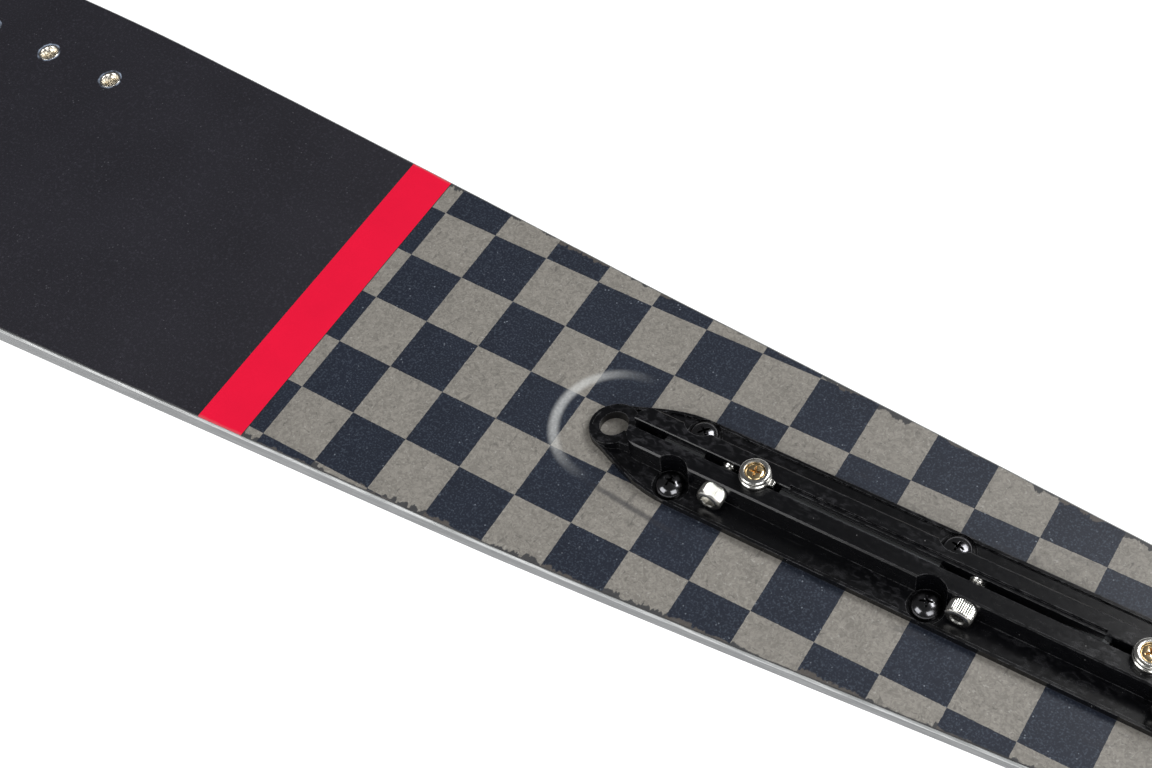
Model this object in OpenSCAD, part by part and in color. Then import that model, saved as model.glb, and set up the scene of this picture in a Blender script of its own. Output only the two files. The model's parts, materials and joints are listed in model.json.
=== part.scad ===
// Slalom water ski: a laminated board with an adjustable fin and wing in a clamp block.
// +X points to the tip, +Y to the side of the clamp heads, +Z up; the origin is half way
// along the board, on its centre line, level with the lowest point of the fin.

/* [Board] */
// Overall length of the board
board_len = 1702; // [1676:1:1740]
// Radius of the two corners of the tail
tail_corner = 26; // [18:1:32]
// Length over which the tip is rounded off
tip_round = 40; // [30:1:60]
// Thickness of the printed top film
film_t = 0.5; // [0.3:0.1:0.8]
// Thickness of the top laminate under the film
top_skin = 1.3; // [1:0.1:1.8]
// Thickness of the base laminate
base_skin = 1.4; // [1.2:0.1:2]
// Width of the side wall, measured into the board
wall_w = 6; // [4:0.5:8]
// Width of the light rim left around the film
rim_w = 0.8; // [0.4:0.1:1.2]
// Distance from the tail to the tail side of the colour band
band_d = 404.4; // [400:0.1:410]
// Width of the colour band
band_w = 20.8; // [15:0.1:25]

/* [Binding inserts] */
// Distance from the tail to the first row of the rear group
rear_row_d = 580.4; // [575:0.1:590]
// Distance from the tail to the first row of the front group
front_row_d = 823.8; // [815:0.1:830]
// Distance between rows along the board
row_pitch = 38.1; // [37:0.1:39]
// Distance between the two lines of inserts across the board
line_pitch = 101.6; // [100:0.1:103]
// Rows in the rear group
rear_rows = 4; // [3:1:4]
// Rows in the front group
front_rows = 5; // [3:1:5]
// Outer radius of an insert
insert_r = 4.75; // [4.5:0.05:5]
// Radius of an insert's tapped hole
tap_r = 2.5; // [2.4:0.05:2.6]

/* [Fin block] */
// Distance from the tail to the middle of the block
block_mid = 140.8; // [138:0.1:142]
// Height of the two rails above the deck
rail_h = 13; // [12.5:0.1:14]
// Outer face of a rail, measured from the centre line
rail_y = 9; // [8.5:0.1:9.5]
// Half of the width of the block's foot
foot_y = 19.75; // [19:0.05:21]
// Distance between neighbouring pairs of mounting screws
mount_pitch = 104.4; // [104:0.1:105]
// Distance across a pair of mounting screws
mount_span = 25.4; // [25:0.1:26]
// Distance from the block's middle to each depth adjuster
adjuster_off = 75; // [74.8:0.1:75.2]
// Distance from the block's middle to the front and rear clamp screws
clamp_off = 86.8; // [86.7:0.1:87]
// Height of the clamp screws above the deck
clamp_z = 8; // [7.9:0.1:8.2]
// Radius of the relief hole in the nose
hole_r = 5.75; // [5:0.05:6]

/* [Fin and wing] */
// Thickness of the fin
fin_t = 3.1; // [3:0.05:3.2]
// Depth of the fin's lowest point below the deck
fin_drop = 76; // [74:0.5:80]
// Angle of the wing to the board, leading edge down
wing_angle = 8; // [6:0.5:10]
// Length of one wing blade outside its ear
wing_span = 43; // [38:1:46]

/* [Hidden] */
$fn = 48;

// Board curves as [distance from the tail, value] knots; heights count from the tail's deck.
width_knots = [[0, 43.2], [110, 52.1], [180, 58], [255, 64], [340, 70], [430, 76], [530, 82.4],
    [600, 86], [680, 87.4], [860, 87.2], [1000, 86.2], [1150, 82.5], [1300, 74.5], [1430, 63],
    [1540, 49.5], [1630, 36], [board_len, 24]];
level_end = 292;
deck_knots = [[0, 0], [level_end, 0], [340, 1.5], [430, 4.4], [530, 7], [640, 8.9], [760, 9.8],
    [980, 9.8], [1150, 11.5], [1300, 18], [1450, 29], [1580, 42], [board_len, 57]];
thick_knots = [[0, 10.5], [120, 12.4], [255, 14.2], [340, 16.9], [430, 20.2], [530, 23.2],
    [640, 25.6], [760, 26.5], [980, 26], [1150, 23.5], [1300, 20], [1450, 16], [1580, 13],
    [board_len, 10]];
side_knots = [[0, 5.4], [220, 6.8], [525, 9.4], [700, 10.4], [1000, 10.4], [1400, 8],
    [board_len, 5]];
bevel_knots = [[0, 8], [400, 12], [700, 14], [1200, 14], [board_len, 10]];
tunnel_knots = [[0, 1.2], [250, 2], [600, 3.5], [900, 4], [1300, 2.5], [1500, 0.6],
    [board_len, 0.2]];
tail_steps = 6;
mid_steps = 34;
tail_roll = 12;
tip_roll = 40;

deck_z = fin_drop;
skins = film_t + top_skin;
hole_d = block_mid + 136.6;
nose_r = 10;
block_tail = block_mid - 126.8;
rail_front = block_mid + 127.8;
slot_w = 3.3;
screw_r = 3;
mount_y = mount_span / 2;
mounts_d = [for (k = [-1:1]) block_mid + k * mount_pitch];
adjusters_d = [block_mid - adjuster_off, block_mid + adjuster_off];
clamp_middle_d = block_mid - 12.5;
nut_r = 4;
nut_low = 1.9;
nut_high = 10.4;
pin_z = 3.7;
pin_r = 1.25;
screw_low = 7.7;
collar_h = 4.4;
liner_w = 7;
insert_deep = 14;
block_insert_deep = 7.2;
liner_tail = block_mid - 123.7;
liner_front = block_mid + 123.8;
pivot_d = block_mid - 78;
pivot_z = -46;
lock_off = 22;
ear_in = fin_t / 2 + 0.05;
ear_t = 2;
wing_screw_r = 1.95;

// ---- curves -------------------------------------------------------------------------

function rise(a, b) = (b[1] - a[1]) / (b[0] - a[0]);

// Slope at a knot, kept at zero beside a level stretch so that the curve never overshoots.
function knot_slope(k, i) =
    i == 0 ? rise(k[0], k[1])
    : i == len(k) - 1 ? rise(k[i - 1], k[i])
    : let (p = rise(k[i - 1], k[i]), q = rise(k[i], k[i + 1])) p * q <= 0 ? 0 : 2 * p * q / (p + q);

function knot_index(k, x, i = 0) = i >= len(k) - 2 || x < k[i + 1][0] ? i : knot_index(k, x, i + 1);

function curve(k, x) =
    let (i = knot_index(k, x), h = k[i + 1][0] - k[i][0], t = (x - k[i][0]) / h)
    (2 * t ^ 3 - 3 * t ^ 2 + 1) * k[i][1] + (t ^ 3 - 2 * t ^ 2 + t) * h * knot_slope(k, i)
    + (3 * t ^ 2 - 2 * t ^ 3) * k[i + 1][1] + (t ^ 3 - t ^ 2) * h * knot_slope(k, i + 1);

// Quarter-round easing from 0 to 1 over the given length.
function ease(x, length) = sqrt(1 - (1 - min(1, x / length)) ^ 2);

function half_w(d) =
    (curve(width_knots, d) - tail_corner * (1 - ease(d, tail_corner)))
    * max(0.16, ease(board_len - d, tip_round));

function deck(d) = curve(deck_knots, d);
function wall_foot(d) = deck(d) - curve(side_knots, d);

// Distance from the tail once the outline is drawn in by inset, and the half width there.
function inner_d(d, inset) = inset + d * (board_len - 2 * inset) / board_len;
function inner_w(d, inset) = max(0.35 * half_w(d), half_w(d) - inset);

stations = concat(
    [for (a = [0:15:75]) tail_corner * (1 - cos(a))],
    [for (k = [0:tail_steps]) tail_corner + k * (level_end - tail_corner) / tail_steps],
    [for (k = [1:mid_steps]) level_end + k * (board_len - tip_round - level_end) / mid_steps],
    [for (a = [75, 60, 45, 30, 18, 0]) board_len - tip_round * (1 - cos(a))]);

// ---- sections across the board, from -Y to +Y ----------------------------------------

function mirrored(half) =
    concat([for (p = half) [p[0], -p[1], p[2]]],
        [for (i = [len(half) - 1:-1:0]) half[i]]);

function flat_row(d, inset, drop) =
    let (x = inner_d(d, inset)) mirrored([[x, inner_w(d, inset), deck(x) - drop]]);

function laminate_top(d) =
    let (x = inner_d(d, rim_w))
    mirrored([[d, half_w(d), deck(d) - film_t - 0.4], [x, inner_w(d, rim_w), deck(x) - film_t]]);

function laminate_foot(d) =
    let (x = inner_d(d, wall_w))
    mirrored([[d, half_w(d), deck(d) - skins], [x, inner_w(d, wall_w), deck(x) - skins]]);

// One half of the base surface at distance x: w is the board's half width there, lift raises
// the surface to the laminate's inner side, and roll draws it up to the side wall's foot.
function base_half(x, w, wall_y, bevel_y, roll, lift) =
    let (top = wall_foot(x), low = deck(x) - curve(thick_knots, x) + lift,
        rail = min(bevel_y - min(7, 0.15 * w), 0.9 * bevel_y), hollow = curve(tunnel_knots, x),
        shoulder_y = lift > 0 ? (wall_y + bevel_y) / 2 : wall_y - 0.28 * (wall_y - bevel_y),
        points = [[wall_y, 0], [shoulder_y, 0.62 * (low - top)], [bevel_y, low - top],
            [rail, low - top], for (f = [0.66, 0.22]) [f * rail, low - top + hollow * (1 - f ^ 2)]])
    [for (p = points) [x, p[0], top + roll * p[1]]];

function end_roll(d) = ease(d, tail_roll) * ease(board_len - d, tip_roll);
function bevel_w(d) = min(curve(bevel_knots, d), 0.4 * half_w(d));

function base_outer(d) =
    mirrored(base_half(d, half_w(d), half_w(d), half_w(d) - bevel_w(d), end_roll(d), 0));

function base_inner(d) =
    let (w = inner_w(d, wall_w), bevel_y = min(half_w(d) - bevel_w(d) - 0.8, 0.8 * w))
    mirrored(base_half(inner_d(d, wall_w), half_w(d), w, bevel_y, end_roll(d), base_skin));

function core_top(d) =
    let (x = inner_d(d, wall_w)) [for (p = base_inner(d)) [x, p[1], deck(x) - skins]];

// ---- solids between surfaces -----------------------------------------------------------

function flip(faces) = [for (f = faces) [f[0], f[2], f[1]]];
function quad(a, b, c, d) = [[a, b, c], [a, c, d]];

// Closed solid between two grids of points, rows along X and columns along Y.
module slab(upper, lower) {
    n = len(upper);
    m = len(upper[0]);
    low = n * m;
    tops = [for (k = [0:n - 2], j = [0:m - 2])
        each quad(k * m + j, k * m + j + 1, (k + 1) * m + j + 1, (k + 1) * m + j)];
    sides = [for (k = [0:n - 2], j = [0, m - 1])
        let (a = k * m + j, b = a + m, q = quad(low + a, a, b, low + b)) each (j == 0 ? q : flip(q))];
    ends = [for (j = [0:m - 2], k = [0, n - 1])
        let (a = k * m + j, q = quad(low + a + 1, a + 1, a, low + a)) each (k == 0 ? q : flip(q))];
    bottoms = flip([for (f = tops) [for (v = f) v + low]]);
    points = [for (row = concat(upper, lower)) each row];
    translate([-board_len / 2, 0, deck_z])
        polyhedron(points, concat(tops, bottoms, sides, ends), convexity = 4);
}

// Closed ring around the board: each place on its outline has four corner points.
module ring(sections) {
    n = len(sections);
    faces = [for (q = [0:n - 1], c = [0:3])
        let (a = 4 * q, b = 4 * ((q + 1) % n), e = (c + 1) % 4)
        each quad(a + c, a + e, b + e, b + c)];
    translate([-board_len / 2, 0, deck_z])
        polyhedron([for (s = sections) each s], faces, convexity = 6);
}

function wall_section(d, side) =
    let (x = inner_d(d, wall_w), wo = side * half_w(d), wi = side * inner_w(d, wall_w))
    [[d, wo, wall_foot(d)], [d, wo, deck(d) - skins], [x, wi, deck(x) - skins],
        [x, wi, wall_foot(x)]];

// ---- placing -----------------------------------------------------------------------------

// Inside this frame x is the distance from the tail and z the height above the tail's deck.
module tail_frame() {
    translate([-board_len / 2, 0, deck_z]) children();
}

module at_inserts(first, rows) {
    for (k = [0:rows - 1], side = [-1, 1])
        let (d = first + k * row_pitch)
            tail_frame() translate([d, side * line_pitch / 2, deck(d)]) children();
}

module at_mounts() {
    for (d = mounts_d, side = [-1, 1])
        tail_frame() translate([d, side * mount_y, 0]) children();
}

module at_adjuster(d) {
    tail_frame() translate([d, 0, 0]) children();
}

module at_wing(x = 0, turn = 0) {
    tail_frame() translate([pivot_d, 0, pivot_z]) rotate([0, turn, 0]) translate([x, 0, 0])
        children();
}

// Cylinder along Y between two heights.
module across(r, y0, y1) {
    translate([0, y1, 0]) rotate([90, 0, 0]) cylinder(r = r, h = y1 - y0);
}

module stadium(x0, x1, w) {
    translate([x0 + w / 2, -w / 2]) square([x1 - x0 - w, w]);
    for (x = [x0 + w / 2, x1 - w / 2])
        translate([x, 0]) circle(w / 2);
}

// Everything that is let into the board from above.
module board_cuts() {
    at_inserts(rear_row_d, rear_rows)
        translate([0, 0, -insert_deep]) cylinder(r = insert_r, h = insert_deep + 2);
    at_inserts(front_row_d, front_rows)
        translate([0, 0, -insert_deep]) cylinder(r = insert_r, h = insert_deep + 2);
    at_mounts()
        translate([0, 0, -block_insert_deep]) cylinder(r = insert_r, h = block_insert_deep + 1);
    slot_cut();
}

module slot_cut() {
    tail_frame() translate([0, 0, -25]) linear_extrude(30) stadium(liner_tail, liner_front, liner_w);
}

// ---- board -------------------------------------------------------------------------------

rear_plate = [[rear_row_d - 18, -62, 3.6], [(rear_rows - 1) * row_pitch + 36, 124, 1.8]];
front_plate = [[front_row_d - 18, -62, 6.2], [(front_rows - 1) * row_pitch + 36, 124, 1.8]];
tail_plate = [[liner_tail - 6, -22, -3.8], [liner_front - liner_tail + 12, 44, 2]];

module plate_box(p) {
    tail_frame() translate(p[0]) cube(p[1]);
}

// Foam core
module core() {
    color("wheat") difference() {
        slab([for (d = stations) core_top(d)], [for (d = stations) base_inner(d)]);
        board_cuts();
        for (p = [rear_plate, front_plate, tail_plate]) plate_box(p);
    }
}

// Carbon laminate under the film, with a bevelled rim that shows around it
module top_laminate() {
    color("silver") difference() {
        slab([for (d = stations) laminate_top(d)], [for (d = stations) laminate_foot(d)]);
        board_cuts();
    }
}

// Base laminate with a hollow between its two flat rails and rolled bevels at the sides
module base_laminate() {
    color("dimgray") difference() {
        slab([for (d = stations) base_inner(d)], [for (d = stations) base_outer(d)]);
        slot_cut();
    }
}

module sidewall() {
    n = len(stations);
    color("lightgray") ring(concat([for (d = stations) wall_section(d, -1)],
        [for (k = [n - 1:-1:0]) wall_section(stations[k], 1)]));
}

module film(d0, d1) {
    list = concat([d0], [for (d = stations) if (d > d0 + 1 && d < d1 - 1) d], [d1]);
    difference() {
        slab([for (d = list) flat_row(d, rim_w, 0)], [for (d = list) flat_row(d, rim_w, film_t)]);
        board_cuts();
    }
}

module topsheet_front() {
    color("#2d2c34") film(band_d + band_w, stations[len(stations) - 1]);
}

module topsheet_band() {
    color("#f01e3c") film(band_d, band_d + band_w);
}

module topsheet_tail() {
    color("#57564f") film(0, band_d);
}

module rear_insert_plate() {
    color("darkkhaki") difference() {
        plate_box(rear_plate);
        board_cuts();
    }
}

module front_insert_plate() {
    color("darkkhaki") difference() {
        plate_box(front_plate);
        board_cuts();
    }
}

module tail_insert_plate() {
    color("darkkhaki") difference() {
        plate_box(tail_plate);
        board_cuts();
    }
}

// Threaded insert hanging down from its mouth, with a blind hole
module insert(depth, hole_floor) {
    lead_in = 0.3;
    rotate_extrude() polygon([[0, -depth], [insert_r, -depth], [insert_r, -0.05],
        [tap_r + lead_in, -0.05], [tap_r, -0.05 - lead_in], [tap_r, hole_floor - depth],
        [0, hole_floor - depth]]);
}

module rear_binding_inserts() {
    color("gainsboro") at_inserts(rear_row_d, rear_rows) insert(insert_deep, 2);
}

module front_binding_inserts() {
    color("gainsboro") at_inserts(front_row_d, front_rows) insert(insert_deep, 2);
}

// Plain-mouthed inserts under the fin block, bored for the screw's full diameter
module block_inserts() {
    color("goldenrod") at_mounts() difference() {
        translate([0, 0, -block_insert_deep]) cylinder(r = insert_r, h = block_insert_deep);
        translate([0, 0, 0.8 - block_insert_deep]) cylinder(r = screw_r, h = block_insert_deep);
    }
}

// Moulded sleeve that seals the slot through the board
module slot_liner() {
    d0 = liner_tail - 1;
    d1 = liner_front + 1;
    floor_knots = [for (k = [0:8]) let (d = d0 + k * (d1 - d0) / 8)
        [d, deck(d) - curve(thick_knots, d) + curve(tunnel_knots, d) + 0.3]];
    color("#202022") tail_frame() difference() {
        intersection() {
            translate([0, 0, -25]) linear_extrude(25) stadium(liner_tail, liner_front, liner_w);
            translate([0, liner_w, 0]) rotate([90, 0, 0]) linear_extrude(2 * liner_w)
                polygon(concat([[d1, 0], [d0, 0]], floor_knots));
        }
        translate([0, 0, -26]) linear_extrude(30) stadium(liner_tail + 1.6, liner_front - 1.6, 3.8);
    }
}

// ---- fin block ---------------------------------------------------------------------------

// Cubic curve through the block's shoulder, from the nose circle to the straight side
function shoulder(t, inset) =
    let (a = [hole_d + 2.2, 9.75], b = [hole_d - 9.3, 14], c = [hole_d - 18.3, foot_y],
        e = [hole_d - 33.3, foot_y], s = 1 - t)
    s ^ 3 * a + 3 * s ^ 2 * t * b + 3 * s * t ^ 2 * c + t ^ 3 * e - [0, inset];

function block_half(inset) =
    concat([for (a = [0:10:70]) [hole_d, 0] + (nose_r - inset) * [cos(a), sin(a)]],
        [for (t = [0:0.1:1]) shoulder(t, inset)],
        [for (a = [0:15:90]) [block_tail + 8, foot_y - 8] + (8 - inset) * [-sin(a), cos(a)]]);

module block_outline(inset = 0) {
    half = block_half(inset);
    polygon(concat(half, [for (i = [len(half) - 1:-1:1]) [half[i][0], -half[i][1]]]));
}

module rail_plan(side) {
    corner = 6.5;
    depth = rail_y - slot_w / 2;
    corner_d = rail_front - corner;
    translate([block_tail, side > 0 ? slot_w / 2 : -rail_y]) square([corner_d - block_tail, depth]);
    translate([corner_d - 1, side > 0 ? slot_w / 2 : -rail_y + corner])
        square([corner + 1, depth - corner]);
    translate([corner_d, side * (rail_y - corner)]) circle(corner);
}

// Rail cross-section with chamfered top edges, drawn out along the block
module rail_profile(side) {
    c = 0.6;
    y0 = slot_w / 2;
    translate([block_tail - 1, 0, 0]) rotate([90, 0, 90]) linear_extrude(rail_front - block_tail + 2)
        polygon([[side * y0, 0], [side * y0, rail_h - c / 2], [side * (y0 + c / 2), rail_h],
            [side * (rail_y - c), rail_h], [side * rail_y, rail_h - c], [side * rail_y, 0]]);
}

// Nose ring whose top slopes from the rails down to the front
module nose_ring() {
    low = 3.4;
    high = 8;
    difference() {
        union() {
            translate([hole_d, 0, 0]) cylinder(r = nose_r - 0.2, h = high);
            translate([rail_front - 8, -nose_r + 2.5, 0]) cube([10, 2 * nose_r - 5, high]);
        }
        translate([hole_d - nose_r - 3, 0, high]) rotate([0, atan((high - low) / (2 * nose_r)), 0])
            translate([0, -nose_r - 1, 0]) cube([3 * nose_r, 2 * nose_r + 2, high]);
    }
}

module fin_block() {
    foot_h = 2.4;
    lip_h = 3.2;
    color("#1b1b1e") tail_frame() difference() {
        union() {
            linear_extrude(foot_h) block_outline();
            difference() {
                linear_extrude(lip_h) block_outline();
                translate([0, 0, foot_h]) linear_extrude(lip_h) block_outline(1.3);
            }
            for (side = [-1, 1]) intersection() {
                linear_extrude(rail_h) rail_plan(side);
                rail_profile(side);
            }
            nose_ring();
        }
        translate([block_tail - 1, -slot_w / 2, -1]) cube([hole_d - block_tail + 1, slot_w, rail_h + 2]);
        translate([hole_d, 0, -1]) cylinder(r = hole_r, h = rail_h);
        translate([block_mid - 59, -slot_w / 2 - 1.5, rail_h - 1]) cube([121, 1.6, 2]);
        for (d = mounts_d, side = [-1, 1]) translate([d, side * mount_y, 0]) {
            translate([0, 0, -1]) cylinder(r = screw_r + 0.2, h = rail_h);
            translate([0, 0, 2]) cylinder(r = 7, h = rail_h);
        }
        for (d = [block_mid - clamp_off, clamp_middle_d, block_mid + clamp_off])
            translate([d, 0, clamp_z]) across(screw_r + 0.05, -rail_y - 1, rail_y + 1);
        for (d = adjusters_d)
            translate([d, 0, -1]) cylinder(r = nut_r + 0.05, h = rail_h + 2);
    }
}

// Cross recess cut down from z = 0, reach is the length of one arm
module cross_recess(reach, deep) {
    for (turn = [0, 90]) rotate(turn)
        translate([-reach, -reach / 5, -deep]) cube([2 * reach, 2 * reach / 5, deep + 2]);
}

// Six pan-head screws that hold the block down
module block_screws() {
    seat = 2;
    head_r = 6;
    color("#26262a") at_mounts() difference() {
        union() {
            rotate_extrude() polygon([[0, seat], [head_r - 0.2, seat], [head_r, seat + 0.3],
                [head_r - 0.1, seat + 1.6], [head_r - 0.8, seat + 2.8], [head_r - 2.1, seat + 3.7],
                [head_r - 4, seat + 4.2], [0, seat + 4.4]]);
            translate([0, 0, 1 - block_insert_deep]) cylinder(r = screw_r, h = block_insert_deep + 2);
        }
        translate([0, 0, seat + 4.4]) rotate(20) cross_recess(2.9, 2.4);
    }
}

// Knurled socket-head screw across the rails, head on the +Y side
module clamp_screw(d) {
    head_r = 5;
    head_h = 6;
    ridges = 30;
    color("#d9d8d2") tail_frame() translate([d, 0, clamp_z]) difference() {
        union() {
            across(screw_r, -rail_y, rail_y + 1);
            across(head_r, rail_y, rail_y + head_h);
        }
        translate([0, rail_y + head_h - 3, 0]) rotate([-90, 0, 0])
            linear_extrude(4) circle(2.9, $fn = 6);
        for (k = [0:ridges - 1]) rotate([0, k * 360 / ridges, 0])
            translate([head_r, rail_y + 0.8, 0]) rotate([0, 45, 0])
                translate([-0.2, 0, -0.2]) cube([0.4, head_h - 1.6, 0.4]);
    }
}

module clamp_screw_front() {
    clamp_screw(block_mid + clamp_off);
}

module clamp_screw_middle() {
    clamp_screw(clamp_middle_d);
}

module clamp_screw_rear() {
    clamp_screw(block_mid - clamp_off);
}

// Two-tier collar on top of the rails, with a spigot in the bore and a tab to the tail
module adjuster_collar(d) {
    color("#cfcdc6") at_adjuster(d) difference() {
        union() {
            translate([0, 0, rail_h]) rotate_extrude() polygon([[0, 0], [6, 0], [6.1, 0.3],
                [6.1, 1.7], [5.6, 2.1], [5.6, 2.5], [5.9, 2.9], [5.9, 3.7], [5.2, collar_h],
                [0, collar_h]]);
            translate([0, 0, rail_h - 0.8]) cylinder(r = nut_r, h = 1);
            translate([-8, -1.3, rail_h]) cube([4, 2.6, 1.7]);
        }
        translate([0, 0, rail_h - 2]) cylinder(r = 2.05, h = collar_h + 4);
        translate([0, 0, rail_h + 2.4]) cylinder(r = 3.8, h = collar_h);
    }
}

module adjuster_collar_front() {
    adjuster_collar(adjusters_d[1]);
}

module adjuster_collar_rear() {
    adjuster_collar(adjusters_d[0]);
}

// Brass screw seated in the collar and threaded into the nut below
module adjuster_screw(d) {
    seat = rail_h + 2.45;
    color("#c9a25a") at_adjuster(d) difference() {
        union() {
            translate([0, 0, screw_low]) cylinder(r = 2, h = seat - screw_low + 0.2);
            translate([0, 0, seat]) rotate_extrude()
                polygon([[0, 0], [3.7, 0], [3.7, 0.9], [3.3, 1.5], [0, 1.7]]);
        }
        translate([0, 0, seat + 1.7]) rotate(12) cross_recess(2, 1.2);
    }
}

module adjuster_screw_front() {
    adjuster_screw(adjusters_d[1]);
}

module adjuster_screw_rear() {
    adjuster_screw(adjusters_d[0]);
}

// Forked brass nut that straddles the fin
module adjuster_nut(d) {
    color("#b08d3c") at_adjuster(d) difference() {
        translate([0, 0, nut_low]) cylinder(r = nut_r, h = nut_high - nut_low);
        translate([-nut_r - 1, -slot_w / 2, nut_low - 1]) cube([2 * nut_r + 2, slot_w, 5.4]);
        translate([0, 0, nut_low + 2]) cylinder(r = 2.05, h = nut_high);
        translate([0, 0, pin_z]) across(pin_r, -nut_r, nut_r);
    }
}

module adjuster_nut_front() {
    adjuster_nut(adjusters_d[1]);
}

module adjuster_nut_rear() {
    adjuster_nut(adjusters_d[0]);
}

// Cross pins that carry the fin on the two nuts
module adjuster_pins() {
    color("#9fa0a2") for (d = adjusters_d)
        at_adjuster(d) translate([0, 0, pin_z]) across(pin_r, -3.6, 3.6);
}

// ---- fin and wing --------------------------------------------------------------------------

// Side view of the fin, x from the tail and y up from the deck
function fin_outline() =
    let (m = block_mid, lug = 9, post = 9.5, floor_z = 3, strip = 6, toe = -9.5,
        a = m + adjuster_off, b = m - adjuster_off, half = 5.55, low = -fin_drop,
        lead = [m + 58, -9.5])
    concat([[m + 117.8, toe], [m + 117.8, 4.5], [m + 114, lug], [m + 97.3, lug],
        [m + 96.3, floor_z], [a + half, floor_z], [a + half, strip], [a - half, strip],
        [a - half, floor_z], [m + 66.3, floor_z], [m + 65.3, post], [m + 1.5, post],
        [m - 2, floor_z], [m - 19.2, floor_z], [m - 58.7, lug], [m - 61, lug - 1.2],
        [m - 61, floor_z], [b + half, floor_z], [b + half, strip], [b - half, strip],
        [b - half, floor_z], [m - 96.3, floor_z], [m - 97.3, lug], [m - 114, lug],
        [m - 117.8, 4.5], [m - 117.8, -12], [m - 115, -34], [m - 113, low + 18]],
        [for (a = [0:15:90]) [m - 95, low + 18] + 18 * [-cos(a), -sin(a)]],
        [for (t = [0:0.1:1]) let (s = 1 - t)
            s ^ 3 * [m - 20, low] + 3 * s ^ 2 * t * [m + 25, low]
            + 3 * s * t ^ 2 * [m + 56, -44] + t ^ 3 * lead]);

module fin() {
    color("#8f9194") tail_frame() difference() {
        translate([0, fin_t / 2, 0]) rotate([90, 0, 0]) linear_extrude(fin_t)
            difference() {
                polygon(fin_outline());
                for (d = adjusters_d)
                    translate([d, pin_z]) square([8.7, 2 * pin_r + 0.1], center = true);
            }
        for (x = [0, -lock_off])
            translate([pivot_d, 0, pivot_z]) rotate([0, wing_angle, 0]) translate([x, 0, 0])
                across(wing_screw_r, -fin_t, fin_t);
    }
}

// One wing: an ear against the fin and a swept blade; the lock hole is a short slot
module wing_half(side) {
    ear_low = -8.5;
    ear_r = 5.5;
    blade_t = 2;
    at_wing(0, wing_angle) difference() {
        union() {
            translate([0, side > 0 ? ear_in + ear_t : -ear_in, 0]) rotate([90, 0, 0])
                linear_extrude(ear_t) {
                    translate([-lock_off, ear_low]) square([lock_off, ear_r - ear_low]);
                    for (x = [0, -lock_off]) translate([x, 0]) circle(ear_r);
                    translate([-lock_off - ear_r, ear_low]) square([lock_off + 2 * ear_r, -ear_low]);
                }
            translate([0, 0, ear_low]) linear_extrude(blade_t) scale([1, side]) {
                polygon([[10, ear_in], [10, ear_in + 4], [-3, wing_span - 3], [-6.5, wing_span],
                    [-22, wing_span], [-25, wing_span - 3], [-29.5, ear_in + 4], [-29.5, ear_in]]);
            }
        }
        across(wing_screw_r + 0.1, -20, 20);
        for (a = [-4, -1, 2]) rotate([0, a, 0]) translate([-lock_off, 0, 0])
            across(wing_screw_r + 0.15, -20, 20);
    }
}

module wing_left() {
    color("#a9abad") wing_half(1);
}

module wing_right() {
    color("#a9abad") wing_half(-1);
}

// Pivot screw in front and lock screw behind it
module wing_screws() {
    seat = ear_in + ear_t + 0.05;
    color("#26262a") for (x = [0, -lock_off]) at_wing(x, wing_angle) difference() {
        union() {
            across(wing_screw_r, -seat - 3, seat + 1);
            translate([0, seat, 0]) rotate([-90, 0, 0]) rotate_extrude()
                polygon([[0, 0], [3.5, 0], [3.5, 0.9], [2.6, 1.9], [0, 2.3]]);
        }
        translate([0, seat + 2.3, 0]) rotate([-90, 0, 0]) cross_recess(1.9, 1.2);
    }
}

module wing_nuts() {
    seat = ear_in + ear_t + 0.05;
    color("#8d8f92") for (x = [0, -lock_off]) at_wing(x, wing_angle) difference() {
        translate([0, -seat - 2.6, 0]) rotate([-90, 0, 0]) linear_extrude(2.6) circle(4.04, $fn = 6);
        across(wing_screw_r, -seat - 4, 0);
    }
}

core();
top_laminate();
base_laminate();
sidewall();
topsheet_front();
topsheet_band();
topsheet_tail();
rear_insert_plate();
front_insert_plate();
tail_insert_plate();
rear_binding_inserts();
front_binding_inserts();
block_inserts();
slot_liner();
fin_block();
block_screws();
clamp_screw_front();
clamp_screw_middle();
clamp_screw_rear();
adjuster_collar_front();
adjuster_collar_rear();
adjuster_screw_front();
adjuster_screw_rear();
adjuster_nut_front();
adjuster_nut_rear();
adjuster_pins();
fin();
wing_left();
wing_right();
wing_screws();
wing_nuts();
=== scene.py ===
"""Slalom water ski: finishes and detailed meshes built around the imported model.

Lengths are in metres in the model's own frame: +X points to the tip, +Y to the side of the
clamp heads and +Z up, with the origin level with the lowest point of the fin.
"""

import json
import logging
import math
from dataclasses import dataclass, field
from enum import Enum
from typing import Callable, Dict, List, Optional, Sequence, Tuple, Union

import bmesh
import bpy
import numpy as np
from mathutils import Matrix, Vector

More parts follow.
